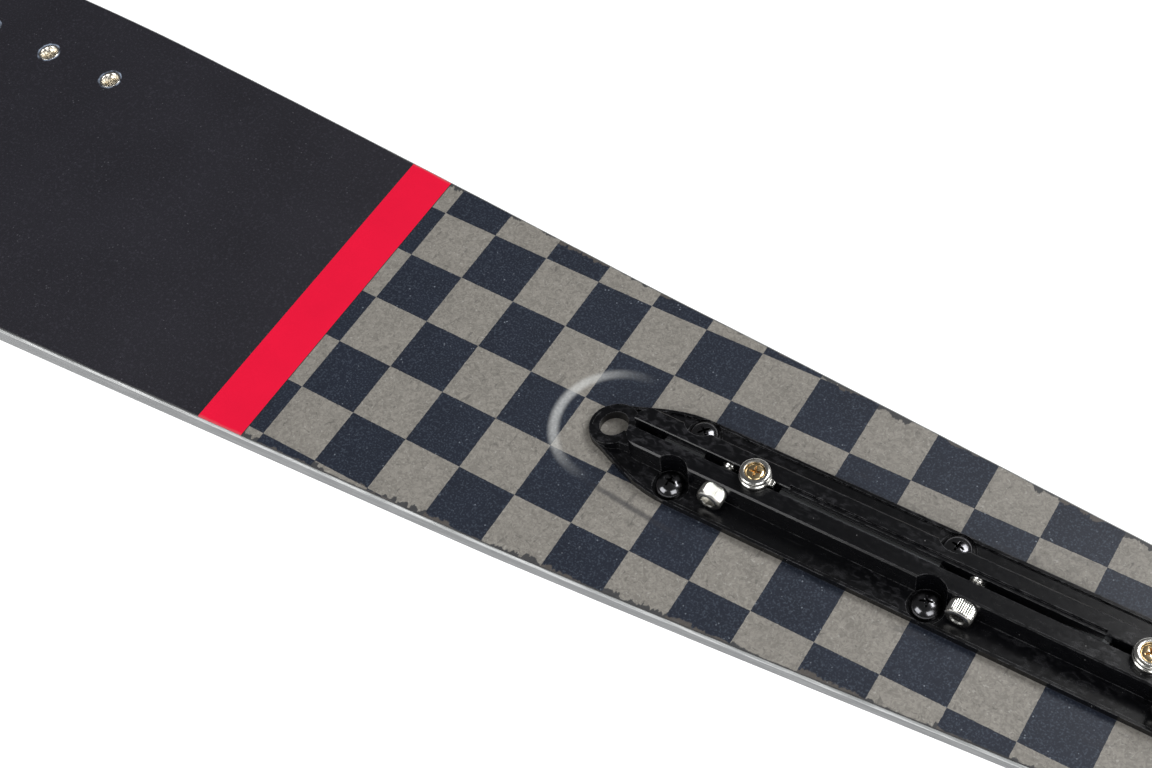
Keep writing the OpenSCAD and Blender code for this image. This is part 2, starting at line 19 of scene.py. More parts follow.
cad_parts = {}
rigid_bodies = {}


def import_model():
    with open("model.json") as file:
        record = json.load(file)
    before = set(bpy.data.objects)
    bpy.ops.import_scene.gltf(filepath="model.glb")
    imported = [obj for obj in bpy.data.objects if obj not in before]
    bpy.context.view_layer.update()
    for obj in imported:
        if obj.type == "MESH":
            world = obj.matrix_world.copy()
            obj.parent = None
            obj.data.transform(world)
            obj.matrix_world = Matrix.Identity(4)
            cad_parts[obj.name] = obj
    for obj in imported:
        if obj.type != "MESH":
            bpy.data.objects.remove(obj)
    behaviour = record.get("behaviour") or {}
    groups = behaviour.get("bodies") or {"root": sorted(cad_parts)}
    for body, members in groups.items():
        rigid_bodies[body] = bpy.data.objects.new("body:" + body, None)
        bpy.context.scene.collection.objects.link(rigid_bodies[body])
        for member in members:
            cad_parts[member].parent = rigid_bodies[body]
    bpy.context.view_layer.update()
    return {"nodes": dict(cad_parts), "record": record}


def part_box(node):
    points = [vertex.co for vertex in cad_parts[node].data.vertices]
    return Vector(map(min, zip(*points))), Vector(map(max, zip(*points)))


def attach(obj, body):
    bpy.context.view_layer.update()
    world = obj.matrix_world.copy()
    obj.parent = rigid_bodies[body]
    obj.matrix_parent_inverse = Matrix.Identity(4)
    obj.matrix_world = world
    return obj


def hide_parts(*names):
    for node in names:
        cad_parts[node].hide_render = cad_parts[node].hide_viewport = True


LOG = logging.getLogger("ski")
MM = 0.001
INCH = 0.0254
TAIL_TO_MIDDLE = 0.851
SAME_POINT = 2e-6
COARSE_PITCH, COARSE_DEPTH = 1.0 * MM, 0.4 * MM
ADJUSTER_PITCH, ADJUSTER_DEPTH = 0.7 * MM, 0.3 * MM

Pair = Tuple[float, float]
Colour = Tuple[float, float, float]
Value = Union["Wire", float, Sequence[float]]
Ripple = Callable[[float, float, float], float]


# ---- shader maths -----------------------------------------------------------------------


class Wire:
    """A node's output that takes part in Python expressions."""

    def __init__(self, graph: "Graph", socket: bpy.types.NodeSocket) -> None:
        """Wraps a socket.

        Args:
            graph: The graph that new nodes are added to.
            socket: The output that this wire stands for.
        """
        self.graph = graph
        self.socket = socket

    def _join(self, operation: str, *values: Value) -> "Wire":
        """Adds a Math node, or a Vector Math node where this wire carries a vector."""
        kind = "ShaderNodeVectorMath" if self.socket.type == "VECTOR" else "ShaderNodeMath"
        return self.graph.node(kind, {"operation": operation}, dict(enumerate(values)))

    def __add__(self, other: Value) -> "Wire":
        """Sum of two values."""
        return self._join("ADD", self, other)

    def __radd__(self, other: Value) -> "Wire":
        """Sum of two values."""
        return self._join("ADD", other, self)

    def __sub__(self, other: Value) -> "Wire":
        """Difference of two values."""
        return self._join("SUBTRACT", self, other)

    def __rsub__(self, other: Value) -> "Wire":
        """Difference of two values."""
        return self._join("SUBTRACT", other, self)

    def __mul__(self, other: Value) -> "Wire":
        """Product of two values."""
        return self._join("MULTIPLY", self, other)

    def __rmul__(self, other: Value) -> "Wire":
        """Product of two values."""
        return self._join("MULTIPLY", other, self)

    def __truediv__(self, other: Value) -> "Wire":
        """Quotient of two values."""
        return self._join("DIVIDE", self, other)

    def __mod__(self, other: Value) -> "Wire":
        """Remainder, never negative."""
        return self._join("FLOORED_MODULO", self, other)

    def __pow__(self, other: Value) -> "Wire":
        """Power of a value."""
        return self._join("POWER", self, other)

    def __floor__(self) -> "Wire":
        """Largest whole number that isn't above the value."""
        return self._join("FLOOR", self)

    def __abs__(self) -> "Wire":
        """Size of the value without its sign."""
        return self._join("ABSOLUTE", self)

    def most(self, other: Value) -> "Wire":
        """The larger of two values."""
        return self._join("MAXIMUM", self, other)


class Graph:
    """A material's node tree, built from one node-making method and a few shorthands."""

    def __init__(self, name: str) -> None:
        """Starts an empty material.

        Args:
            name: Name of the material.
        """
        self.material = bpy.data.materials.new(name)
        self.material.use_nodes = True
        self.tree = self.material.node_tree
        self.tree.nodes.clear()
        self.place = self.node("ShaderNodeTexCoord", output="Object")

    def node(
        self,
        kind: str,
        settings: Optional[Dict[str, object]] = None,
        inputs: Optional[Dict[Union[int, str], Value]] = None,
        output: Union[int, str] = 0,
    ) -> Wire:
        """Adds a node.

        Args:
            kind: The node's type.
            settings: Properties that are set before its sockets; "stops" fills a ramp and
                "points" a curve.
            inputs: Values or wires for its sockets, by name or number.
            output: The output that is returned.

        Returns:
            The chosen output as a wire.
        """
        made = self.tree.nodes.new(kind)
        for name, value in (settings or {}).items():
            if name == "stops":
                self._fill_ramp(made.color_ramp, value)
            elif name == "points":
                self._fill_curve(made.mapping, value)
            else:
                setattr(made, name, value)
        for key, value in (inputs or {}).items():
            self.feed(made.inputs[key], value)
        return Wire(self, made.outputs[output])

    @staticmethod
    def _fill_ramp(ramp: bpy.types.ColorRamp, stops: Sequence[Tuple[float, Colour]]) -> None:
        """Sets a colour ramp's stops."""
        while len(ramp.elements) < len(stops):
            ramp.elements.new(0.5)
        for element, (position, colour) in zip(ramp.elements, stops):
            element.position = position
            element.color = (*colour, 1.0)

    @staticmethod
    def _fill_curve(mapping: bpy.types.CurveMapping, points: Sequence[Pair]) -> None:
        """Sets the points of a float curve."""
        line = mapping.curves[0]
        for x, y in points[1:-1]:
            line.points.new(x, y)
        line.points[0].location = points[0]
        line.points[-1].location = points[-1]
        mapping.update()

    def feed(self, socket: bpy.types.NodeSocket, value: Value) -> None:
        """Links a wire to a socket, or sets the socket's own value."""
        if isinstance(value, Wire):
            self.tree.links.new(value.socket, socket)
        elif socket.type == "RGBA":
            socket.default_value = (*value, 1.0)
        elif socket.type == "VECTOR" and isinstance(value, (int, float)):
            socket.default_value = (value, value, value)
        else:
            socket.default_value = value

    def axes(self, vector: Optional[Wire] = None) -> Tuple[Wire, Wire, Wire]:
        """Splits a vector, or the place on the object, into its three parts."""
        split = self.node("ShaderNodeSeparateXYZ", None, {0: vector or self.place})
        outputs = split.socket.node.outputs
        return tuple(Wire(self, out) for out in outputs)

    def noise(self, size: float, detail: float = 3.0, stretch: Colour = (1, 1, 1), **more: float) -> Wire:
        """Fractal noise about 0.5 wide.

        Args:
            size: Size of its largest blobs in metres.
            detail: Number of octaves.
            stretch: How much the place is scaled along each axis first.
            more: Other sockets of the noise, such as Distortion.

        Returns:
            The noise, from 0 to 1.
        """
        place = self.place if stretch == (1, 1, 1) else self.place * stretch
        sockets = {"Vector": place, "Scale": 1 / size, "Detail": detail}
        return self.node("ShaderNodeTexNoise", None, {**sockets, **more})

    def cells(self, size: float) -> Wire:
        """Distance to the middle of Voronoi cells of the given size in metres."""
        return self.node("ShaderNodeTexVoronoi", None,
                         {"Vector": self.place, "Scale": 1 / size}, "Distance")

    def ease(self, value: Value, low: float, high: float) -> Wire:
        """Smooth step from 0 at low to 1 at high; low may be the larger."""
        return self.node("ShaderNodeMapRange", {"interpolation_type": "SMOOTHSTEP"},
                         {"Value": value, "From Min": low, "From Max": high})

    def band(self, value: Wire, middle: float, half: float, soft: float) -> Wire:
        """1 within half of the middle, falling to 0 over a further distance soft."""
        return self.ease(abs(value - middle), half + soft, half)

    def mix(self, factor: Value, first: Value, second: Value) -> Wire:
        """Colour between two colours."""
        settings = {"data_type": "RGBA", "clamp_factor": True}
        return self.node("ShaderNodeMix", settings, {0: factor, 6: first, 7: second}, 2)

    def tint(self, colour: Value, factor: Value) -> Wire:
        """Colour multiplied by a number."""
        settings = {"data_type": "RGBA", "blend_type": "MULTIPLY", "clamp_factor": False}
        grey = self.node("ShaderNodeCombineColor", None, {0: factor, 1: factor, 2: factor})
        return self.node("ShaderNodeMix", settings, {0: 1.0, 6: colour, 7: grey}, 2)

    def bump(self, height: Wire, depth: float, strength: float = 1.0) -> Wire:
        """Normal bent by a height that is multiplied by depth in metres."""
        return self.node("ShaderNodeBump", None,
                         {"Strength": strength, "Distance": depth, "Height": height}, "Normal")

    def rounded_edges(self, radius: float) -> Wire:
        """Mask that is near 1 on sharp outer edges within radius, for worn edges and painted edge highlights.
        """
        bevel = self.node("ShaderNodeBevel", {"samples": 4}, {"Radius": radius})
        true = self.node("ShaderNodeNewGeometry", output="Normal")
        dot = self.node("ShaderNodeVectorMath", {"operation": "DOT_PRODUCT"},
                        {0: bevel, 1: true}, "Value")
        return self.ease(dot, 0.985, 0.86)

    def surface(self, varying: Dict[str, Value], fixed: Dict[str, object]) -> bpy.types.Material:
        """Adds the shader and ends the graph.

        Args:
            varying: What changes over the surface, by socket name.
            fixed: Numbers and colours that are the same all over.

        Returns:
            The finished material.
        """
        shader = self.tree.nodes.new("ShaderNodeBsdfPrincipled")
        for name, value in {**fixed, **varying}.items():
            self.feed(shader.inputs[name], value)
        out = self.tree.nodes.new("ShaderNodeOutputMaterial")
        self.tree.links.new(shader.outputs[0], out.inputs["Surface"])
        return self.material


# ---- finishes ---------------------------------------------------------------------------


@dataclass(frozen=True)
class Finish:
    """A surface finish; each kind fills in make()."""

    name: str

    def material(self) -> bpy.types.Material:
        """The finish's material, made once."""
        known = bpy.data.materials.get("finish_" + self.name)
        return known or self.make(Graph("finish_" + self.name))

    def make(self, g: Graph) -> bpy.types.Material:
        """Builds the material's nodes."""
        raise NotImplementedError


@dataclass(frozen=True)
class OutlineCurve:
    """The board's half width along X, as points for a float curve.

    Both axes run from 0 to 1: X from low_x to high_x, the half width from 0 to reach.
    """

    low_x: float
    high_x: float
    reach: float
    points: Tuple[Pair, ...]

    def edge_distance(self, g: Graph) -> Wire:
        """Distance in from the board's edge, in metres."""
        x, y, _ = g.axes()
        along = (x - self.low_x) / (self.high_x - self.low_x)
        half = g.node("ShaderNodeFloatCurve", {"points": self.points}, {"Value": along})
        return half * self.reach - abs(y)


@dataclass(frozen=True)
class CheckFilm(Finish):
    """Two-tone chequered film with fibre specks, ground edges, a painted shadow beside the block and a
    painted caustic arc round its nose.
    """

    outline: OutlineCurve
    corner_x: float
    line_y: float
    band_x: float
    nose_x: float
    square: float = INCH
    dark: Colour = (0.0095, 0.0130, 0.0235)
    light: Colour = (0.202, 0.190, 0.170)
    ink: Colour = (0.010, 0.010, 0.013)

    def make(self, g: Graph) -> bpy.types.Material:
        """Builds the material's nodes."""
        x, y, _ = g.axes()
        edge = self.outline.edge_distance(g)
        wobble = (g.noise(1.4 * MM, 2.0) - 0.5) * (0.35 * MM)
        column = math.floor((self.corner_x - x + wobble) / self.square)
        row = math.floor((y - self.line_y + wobble) / self.square)
        light = (column + row) % 2.0
        colour = g.mix(light, self.dark_tone(g), self.light_tone(g))
        torn = self.torn_edge(g, edge, 17 * MM, 2.9 * MM)
        colour = g.mix(torn * light * 0.88, colour, (0.022, 0.024, 0.029))
        bare = self.torn_edge(g, edge, 19 * MM, 2.2 * MM) * (1.0 - light)
        colour = g.mix(bare * 0.42, colour, (0.150, 0.128, 0.102))
        ground = edge + (g.noise(3 * MM, 4.0, (0.4, 1, 1)) - 0.5) * (0.9 * MM)
        colour = g.mix(g.ease(ground, 1.25 * MM, 0.95 * MM) * 0.8, colour, (0.030, 0.030, 0.030))
        # Painted shadow on the film beside the block.
        colour = g.mix(self.painted_block_shadow(g, x, y) * 0.62, colour, (0.018, 0.019, 0.026))
        # Painted caustic: a pale arc of reflected light on the film round the nose of the block.
        colour = g.mix(self.painted_caustic_arc(g, x, y), colour, (0.62, 0.63, 0.62))
        line = g.ease(self.band_x - x, 0.45 * MM, 0.25 * MM)
        colour = g.mix(line, colour, self.ink)
        grain = g.noise(0.5 * MM, 3.0)
        rough = 0.40 + grain * 0.16 + light * 0.06
        return g.surface(
            {"Base Color": colour, "Roughness": rough, "Normal": g.bump(grain, 0.05 * MM, 0.35)},
            {"Specular IOR Level": 0.35},
        )

    def torn_edge(self, g: Graph, edge: Wire, gap: float, reach: float) -> Wire:
        """Shreds along the edge, where the film is torn.

        Args:
            g: The graph.
            edge: Distance in from the edge.
            gap: Size of the stretches with and without shreds.
            reach: The longest shreds' length.

        Returns:
            Mask of the shreds.
        """
        shred = g.ease(g.noise(3.4 * MM, 6.0, (1, 0.3, 0.3), Distortion=0.8), 0.28, 0.64)
        stretch = g.ease(g.noise(gap, 2.0, (1, 0.1, 0.1)), 0.40, 0.56)
        depth = shred * stretch * reach + 0.9 * MM
        fray = (g.noise(0.8 * MM, 3.0) - 0.5) * (1.1 * MM)
        return g.ease(edge - depth + fray, 0.35 * MM, -0.30 * MM)

    def dark_tone(self, g: Graph) -> Wire:
        """Near-black blue with fine light specks."""
        fine = g.ease(g.noise(0.75 * MM, 4.0), 0.47, 0.72)
        cloud = g.noise(14 * MM, 3.0)
        tone = g.tint(self.dark, 0.70 + cloud * 0.5)
        tone = g.mix(fine * 0.50, tone, (0.062, 0.078, 0.104))
        specks = g.ease(g.cells(2.1 * MM), 0.19, 0.10) * g.ease(g.noise(5 * MM, 1.0), 0.55, 0.66)
        return g.mix(specks * 0.6, tone, (0.22, 0.25, 0.29))

    def light_tone(self, g: Graph) -> Wire:
        """Warm grey with soft fibres, dark flecks and a few short scratches."""
        cloud = g.noise(9 * MM, 4.0)
        fibre = g.ease(g.noise(1.9 * MM, 5.0, Distortion=1.6), 0.34, 0.66)
        tone = g.tint(self.light, 0.64 + cloud * 0.26 + fibre * 0.34)
        flecks = g.ease(g.noise(1.5 * MM, 3.0, (0.7, 1, 1), Distortion=0.8), 0.60, 0.72)
        tone = g.mix(flecks * 0.55, tone, (0.075, 0.071, 0.066))
        bright = g.ease(g.noise(1.2 * MM, 3.0), 0.60, 0.74)
        tone = g.mix(bright * 0.45, tone, (0.38, 0.37, 0.345))
        scratch = g.ease(g.noise(2.8 * MM, 2.0, (1, 0.35, 1), Distortion=0.6), 0.665, 0.72)
        return g.mix(scratch * 0.42, tone, (0.055, 0.052, 0.050))

    def painted_block_shadow(self, g: Graph, x: Wire, y: Wire) -> Wire:
        """Mask of a painted shadow on the film beside the block: a dark band on the near side by its front,
        and patchy darkening along both sides.
        """
        line = y - 24.6 * MM + (x - self.nose_x) * 0.10
        line = line + (g.noise(22 * MM, 2.0) - 0.5) * (2.4 * MM)
        near = g.ease(abs(x - self.nose_x + 24 * MM), 26 * MM, 12 * MM)
        # Painted shadow: dark band on the near side, patchy darkening along both sides of the block.
        near_side_shadow = g.band(line, 0.0, 0.3 * MM, 1.6 * MM) * near
        patchy_shadow = g.ease(g.noise(7 * MM, 5.0, (0.3, 1, 1)), 0.60, 0.72)
        zone = g.ease(abs(abs(y) - 26 * MM), 8 * MM, 3 * MM) * g.ease(self.nose_x + 6 * MM - x, 0.0, 12 * MM)
        return near_side_shadow.most(patchy_shadow * zone * 0.55)

    def painted_caustic_arc(self, g: Graph, x: Wire, y: Wire) -> Wire:
        """Mask of a painted caustic: a pale arc of light reflected from the block's nose onto the film."""
        dx = x - self.nose_x
        dy = y + 1.8 * MM
        radius = (dx * dx + dy * dy) ** 0.5
        arc = g.band(radius, 25 * MM, 0.5 * MM, 2.6 * MM)
        span = g.ease(dx, -4 * MM, 12 * MM)
        head = g.ease(dx, 6 * MM, 26 * MM)
        return arc * span * (0.10 + head * 0.36) * (0.6 + g.noise(1.1 * MM, 2.0) * 0.8)


@dataclass(frozen=True)
class CharcoalFilm(Finish):
    """Matt charcoal film with a fine sparkle and a chipped pale ring round each insert."""

    outline: OutlineCurve
    rows: Tuple[Tuple[float, float], ...]
    pitch: float
    line_y: float
    base: Colour = (0.0135, 0.0130, 0.0180)
    insert_r: float = 4.75 * MM

    def make(self, g: Graph) -> bpy.types.Material:
        """Builds the material's nodes."""
        cloud = g.noise(40 * MM, 4.0)
        fine = g.noise(1.0 * MM, 3.0)
        colour = g.tint(self.base, 0.72 + cloud * 0.5)
        colour = g.mix(g.ease(fine, 0.50, 0.74) * 0.32, colour, (0.046, 0.044, 0.060))
        specks = g.ease(g.cells(2.3 * MM), 0.17, 0.09) * g.ease(g.noise(6 * MM, 1.0), 0.54, 0.64)
        colour = g.mix(specks * 0.30, colour, (0.16, 0.16, 0.18))
        edge = self.outline.edge_distance(g)
        ragged = edge + (g.noise(7 * MM, 4.0, (0.4, 1, 1)) - 0.5) * (1.6 * MM)
        colour = g.mix(g.ease(ragged, 1.4 * MM, 0.8 * MM) * 0.6, colour, (0.055, 0.055, 0.055))
        colour = g.mix(self.chipped_rings(g), colour, (0.30, 0.36, 0.46))
        rough = 0.42 + fine * 0.14 + cloud * 0.04
        return g.surface(
            {"Base Color": colour, "Roughness": rough, "Normal": g.bump(fine, 0.05 * MM, 0.35)},
            {"Specular IOR Level": 0.35},
        )

    def chipped_rings(self, g: Graph) -> Wire:
        """Mask of the broken ring around every insert."""
        x, y, _ = g.axes()
        across = abs(y) - self.line_y
        ring = None
        for low, high in self.rows:
            along = (x - low + self.pitch / 2) % self.pitch - self.pitch / 2
            inside = g.ease(x, low - self.pitch / 2, low - self.pitch / 2 + MM) \
                * g.ease(x, high + self.pitch / 2, high + self.pitch / 2 - MM)
            radius = (along * along + across * across) ** 0.5
            radius = radius + (g.noise(3.5 * MM, 2.0) - 0.5) * (1.3 * MM)
            mark = g.band(radius, self.insert_r + 0.35 * MM, 0.25 * MM, 0.35 * MM) * inside
            ring = mark if ring is None else ring.most(mark)
        return ring * g.ease(g.noise(4 * MM, 3.0), 0.30, 0.66) * 0.85


@dataclass(frozen=True)
class RedFilm(Finish):
    """Bright red film with a faint grain and a worn end at each side."""

    outline: OutlineCurve
    base: Colour = (0.66, 0.0052, 0.034)

    def make(self, g: Graph) -> bpy.types.Material:
        """Builds the material's nodes."""
        fine = g.noise(0.7 * MM, 3.0)
        cloud = g.noise(18 * MM, 3.0)
        colour = g.tint(self.base, 0.88 + cloud * 0.16 + fine * 0.08)
        edge = self.outline.edge_distance(g)
        ragged = edge + (g.noise(4 * MM, 3.0, (0.5, 1, 1)) - 0.5) * (1.6 * MM)
        worn = g.ease(ragged, 2.0 * MM, 1.0 * MM)
        colour = g.mix(worn * 0.45, colour, (0.45, 0.10, 0.11))
        rough = 0.42 + fine * 0.14
        return g.surface(
            {"Base Color": colour, "Roughness": rough, "Normal": g.bump(fine, 0.05 * MM, 0.3)},
            {"Specular IOR Level": 0.15},
        )


@dataclass(frozen=True)
class Coated(Finish):
    """Satin painted or moulded surface with drawn streaks along X and fine grain."""

    base: Colour
    streak: Colour
    roughness: float = 0.38
    streak_mm: float = 2.5
    coat: float = 0.2

    def make(self, g: Graph) -> bpy.types.Material:
        """Builds the material's nodes."""
        drawn = g.noise(self.streak_mm * MM, 4.0, (0.03, 1, 1))
        grain = g.noise(0.5 * MM, 3.0)
        cloud = g.noise(30 * MM, 3.0)
        colour = g.mix(g.ease(drawn, 0.38, 0.66), self.base, self.streak)
        colour = g.tint(colour, 0.88 + cloud * 0.14 + grain * 0.10)
        rough = self.roughness - 0.06 + drawn * 0.08 + grain * 0.06
        return g.surface(
            {"Base Color": colour, "Roughness": rough, "Normal": g.bump(grain, 0.04 * MM, 0.3)},
            {"Coat Weight": self.coat, "Coat Roughness": 0.18},
        )


@dataclass(frozen=True)
class Anodised(Finish):
    """Black anodised aluminium: mottled satin, lighter on upward faces as a painted sheen, with rubbed edges
    that are partly wear and partly painted highlight, and handling marks.
    """

    base: Colour = (0.0020, 0.0021, 0.0028)
    rubbed_edge_and_highlight: Colour = (0.13, 0.13, 0.135)
    roughness: float = 0.21

    def make(self, g: Graph) -> bpy.types.Material:
        """Builds the material's nodes."""
        cloud = g.noise(1.9 * MM, 6.0, (0.6, 1, 1), Distortion=0.6)
        zone = g.ease(g.noise(24 * MM, 2.0, (0.5, 1, 1)), 0.42, 0.60)
        drawn = g.noise(0.9 * MM, 4.0, (0.05, 1, 1))
        grain = g.noise(0.45 * MM, 3.0)
        # Random lighter mottle and drawn streaks, weighted to faces that point up as a painted sheen.
        top = g.ease(g.axes(g.node("ShaderNodeNewGeometry", output="Normal"))[2], 0.5, 0.9)
        mottle_and_top_sheen = g.ease(cloud, 0.46, 0.66) * zone * (top * 0.45 + 0.08)
        colour = g.mix(mottle_and_top_sheen, self.base, (0.026, 0.026, 0.029))
        colour = g.mix(g.ease(drawn, 0.62, 0.76) * top * 0.16, colour, (0.040, 0.040, 0.043))
        # Lighter edges: partly rubbed wear, partly painted highlight along the edges.
        worn = g.rounded_edges(0.45 * MM) * g.ease(cloud + grain * 0.4, 0.54, 0.80)
        colour = g.mix(worn * 0.60, colour, self.rubbed_edge_and_highlight)
        nicks = g.ease(g.cells(3.1 * MM), 0.09, 0.05) * g.ease(g.noise(9 * MM, 1.0), 0.58, 0.64)
        colour = g.mix(nicks * 0.6, colour, (0.25, 0.25, 0.25))
        rough = self.roughness - 0.06 + cloud * 0.14 + grain * 0.06
        return g.surface(
            {"Base Color": colour, "Roughness": rough, "Normal": g.bump(grain, 0.01 * MM, 0.3)},
            {"Specular IOR Level": 0.36},
        )


@dataclass(frozen=True)
class Metal(Finish):
    """Bare or plated metal with turning or brushing lines, stains and lighter edges that are partly wear and
    partly painted highlight.
    """

    base: Colour
    stain: Colour
    roughness: float = 0.22
    lines: Colour = (1, 1, 1)
    line_mm: float = 0.5
    edge_wear_and_highlight: float = 0.35
    relief: float = 0.005 * MM

    def make(self, g: Graph) -> bpy.types.Material:
        """Builds the material's nodes."""
        drawn = g.noise(self.line_mm * MM, 4.0, self.lines)
        cloud = g.noise(4 * MM, 4.0)
        grain = g.noise(0.25 * MM, 2.0)
        colour = g.mix(g.ease(cloud, 0.50, 0.76) * 0.45, self.base, self.stain)
        colour = g.tint(colour, 0.90 + drawn * 0.14)
        # Lighter edges: partly wear, partly painted highlight.
        colour = g.mix(g.rounded_edges(0.3 * MM) * self.edge_wear_and_highlight, colour, (0.92, 0.91, 0.88))
        rough = self.roughness - 0.05 + drawn * 0.12 + g.ease(cloud, 0.5, 0.8) * 0.12
        normal = g.bump(drawn + grain * 0.4, self.relief, 0.4)
        return g.surface({"Base Color": colour, "Roughness": rough, "Normal": normal}, {"Metallic": 1.0})


BLACK_OXIDE = Metal("black_oxide", (0.115, 0.115, 0.122), (0.060, 0.060, 0.064), 0.16, edge_wear_and_highlight=0.10)


@dataclass(frozen=True)
class Foam(Finish):
    """Closed-cell foam with a fine cell texture."""

    base: Colour = (0.62, 0.50, 0.30)

    def make(self, g: Graph) -> bpy.types.Material:
        """Builds the material's nodes."""
        cells = g.cells(0.9 * MM)
        cloud = g.noise(25 * MM, 3.0)
        colour = g.tint(self.base, 0.80 + cloud * 0.2 + g.ease(cells, 0.2, 0.6) * 0.12)
        return g.surface(
            {"Base Color": colour, "Roughness": 0.78 + cloud * 0.1,
             "Normal": g.bump(cells, 0.2 * MM, 0.6)},
            {"Specular IOR Level": 0.25},
        )


@dataclass(frozen=True)
class GlassPlate(Finish):
    """Pressed glass-fibre laminate with a plain weave under clear resin."""

    base: Colour = (0.30, 0.33, 0.17)
    tow: float = 2.2 * MM

    def make(self, g: Graph) -> bpy.types.Material:
        """Builds the material's nodes."""
        x, y, _ = g.axes()
        column = math.floor(x / self.tow)
        row = math.floor(y / self.tow)
        over = (column + row) % 2.0
        ripple = g.noise(0.6 * MM, 3.0)
        colour = g.mix(over * 0.5 + ripple * 0.3, self.base, (0.42, 0.46, 0.27))
        return g.surface(
            {"Base Color": colour, "Roughness": 0.32 + ripple * 0.2,
             "Normal": g.bump(over * 0.5 + ripple * 0.3, 0.1 * MM, 0.5)},
            {"Coat Weight": 0.3, "Coat Roughness": 0.15},
        )


@dataclass(frozen=True)
class StudioFloor(Finish):
    """Seamless pale sheet, lit from below, with a barely visible tooth."""

    base: Colour = (0.42, 0.42, 0.42)
    glow: float = 2.1

    def make(self, g: Graph) -> bpy.types.Material:
        """Builds the material's nodes."""
        tooth = g.noise(3 * MM, 3.0)
        colour = g.tint(self.base, 0.99 + tooth * 0.02)
        return g.surface(
            {"Base Color": colour, "Roughness": 0.75 + tooth * 0.1, "Emission Color": colour},
            {"Specular IOR Level": 0.1, "Emission Strength": self.glow},
        )


# ---- mesh building ----------------------------------------------------------------------


class Solid:
    """A mesh under construction."""

    def __init__(self) -> None:
        """Starts an empty mesh."""
        self.mesh = bmesh.new()

    def points(self, places: Sequence[Vector]) -> List[bmesh.types.BMVert]:
        """Adds a vertex at each place."""
        return [self.mesh.verts.new(place) for place in places]

    def face(self, *corners: bmesh.types.BMVert) -> None:
        """Adds a face, leaving out corners that coincide."""
        kept = [c for i, c in enumerate(corners) if c is not corners[i - 1]]
        if len(kept) > 2:
            self.mesh.faces.new(kept)

    def bridge(self, first: Sequence, second: Sequence, closed: bool = True) -> None:
        """Joins two rows of vertices with a strip of faces."""
        count = len(first)
        for i in range(count if closed else count - 1):
            j = (i + 1) % count
            self.face(first[i], first[j], second[j], second[i])

    def turned(
        self,
        profile: Sequence[Pair],
        place: Matrix,
        segments: int = 48,
        ripple: Optional[Ripple] = None,
    ) -> "Solid":
        """Turns a profile about the place's own Z axis.

        Args:
            profile: Pairs of radius and height, from one end to the other. An end with a
                radius of 0 closes to a point, and any other is closed with a flat face.
            place: Where the piece stands.
            segments: Number of steps round the axis.
            ripple: Change of radius for a radius, an angle and a height.

        Returns:
            This mesh.
        """
        rows = []
        for radius, height in profile:
            if radius < 1e-7:
                rows.append(self.points([place @ Vector((0, 0, height))]) * segments)
                continue
            ring = []
            for k in range(segments):
                angle = 2 * math.pi * k / segments
                r = radius + (ripple(radius, angle, height) if ripple else 0.0)
                ring.append(place @ Vector((r * math.cos(angle), r * math.sin(angle), height)))
            rows.append(self.points(ring))
        for first, second in zip(rows, rows[1:]):
            self.bridge(first, second)
        for row, way in ((rows[0], -1), (rows[-1], 1)):
            if row[0] is not row[1]:
                self.face(*row[::way])
        return self

    def prism(self, outline: Sequence[Pair], low: float, high: float, place: Matrix) -> "Solid":
        """Draws an outline from one height to another."""
        lower = self.points([place @ Vector((x, y, low)) for x, y in outline])
        upper = self.points([place @ Vector((x, y, high)) for x, y in outline])
        self.bridge(lower, upper)
        self.face(*lower[::-1])
        self.face(*upper)
        return self

    def object(self, name: str) -> bpy.types.Object:
        """Ends the mesh as an object of the scene."""
        bmesh.ops.recalc_face_normals(self.mesh, faces=self.mesh.faces)
        data = bpy.data.meshes.new(name)
        self.mesh.to_mesh(data)
        self.mesh.free()
        made = bpy.data.objects.new(name, data)
        bpy.context.scene.collection.objects.link(made)
        return made


def settle(piece: bpy.types.Object) -> bpy.types.Object:
    """Applies every modifier of a piece."""
    bpy.context.view_layer.update()
    graph = bpy.context.evaluated_depsgraph_get()
    data = bpy.data.meshes.new_from_object(
        piece.evaluated_get(graph), preserve_all_data_layers=True, depsgraph=graph
    )
    piece.modifiers.clear()
    piece.data = data
    return piece


def cut(piece: bpy.types.Object, cutter: bpy.types.Object) -> bpy.types.Object:
    """Takes a cutter's volume out of a piece and removes the cutter."""
    step = piece.modifiers.new("cut", "BOOLEAN")
    step.operation = "DIFFERENCE"
    step.solver = "EXACT"
    step.object = cutter
    settle(piece)
    bpy.data.objects.remove(cutter)
    return piece


def soften(
    piece: bpy.types.Object, radius: float, segments: int = 3, angle: float = 32.0
) -> bpy.types.Object:
    """Rounds a piece's edges and leaves only true corners sharp in its shading.

    Args:
        piece: The piece.
        radius: Width of the rounding.
        segments: Steps across the rounding.
        angle: Edges that turn by more than this many degrees are rounded.

    Returns:
        The same piece.
    """
    if radius > 0:
        step = piece.modifiers.new("round", "BEVEL")
        step.width = radius
        step.segments = segments
        step.limit_method = "ANGLE"
        step.angle_limit = math.radians(angle)
        step.miter_outer = "MITER_ARC"
        step.use_clamp_overlap = True
        settle(piece)
    piece.data.shade_smooth()
    piece.data.set_sharp_from_angle(angle=math.radians(angle))
    if radius > 0:
        step = piece.modifiers.new("level", "WEIGHTED_NORMAL")
        step.weight = 100
        step.keep_sharp = True
        settle(piece)
    return piece


def copy_of(node: bpy.types.Object, name: str) -> bpy.types.Object:
    """A new piece with the node's shape, its facets joined at their shared corners."""
    solid = Solid()
    solid.mesh.from_mesh(node.data)
    bmesh.ops.remove_doubles(solid.mesh, verts=solid.mesh.verts, dist=SAME_POINT)
    layers = solid.mesh.loops.layers.float_vector
    for layer in list(layers.values()):
        layers.remove(layer)
    return solid.object(name)


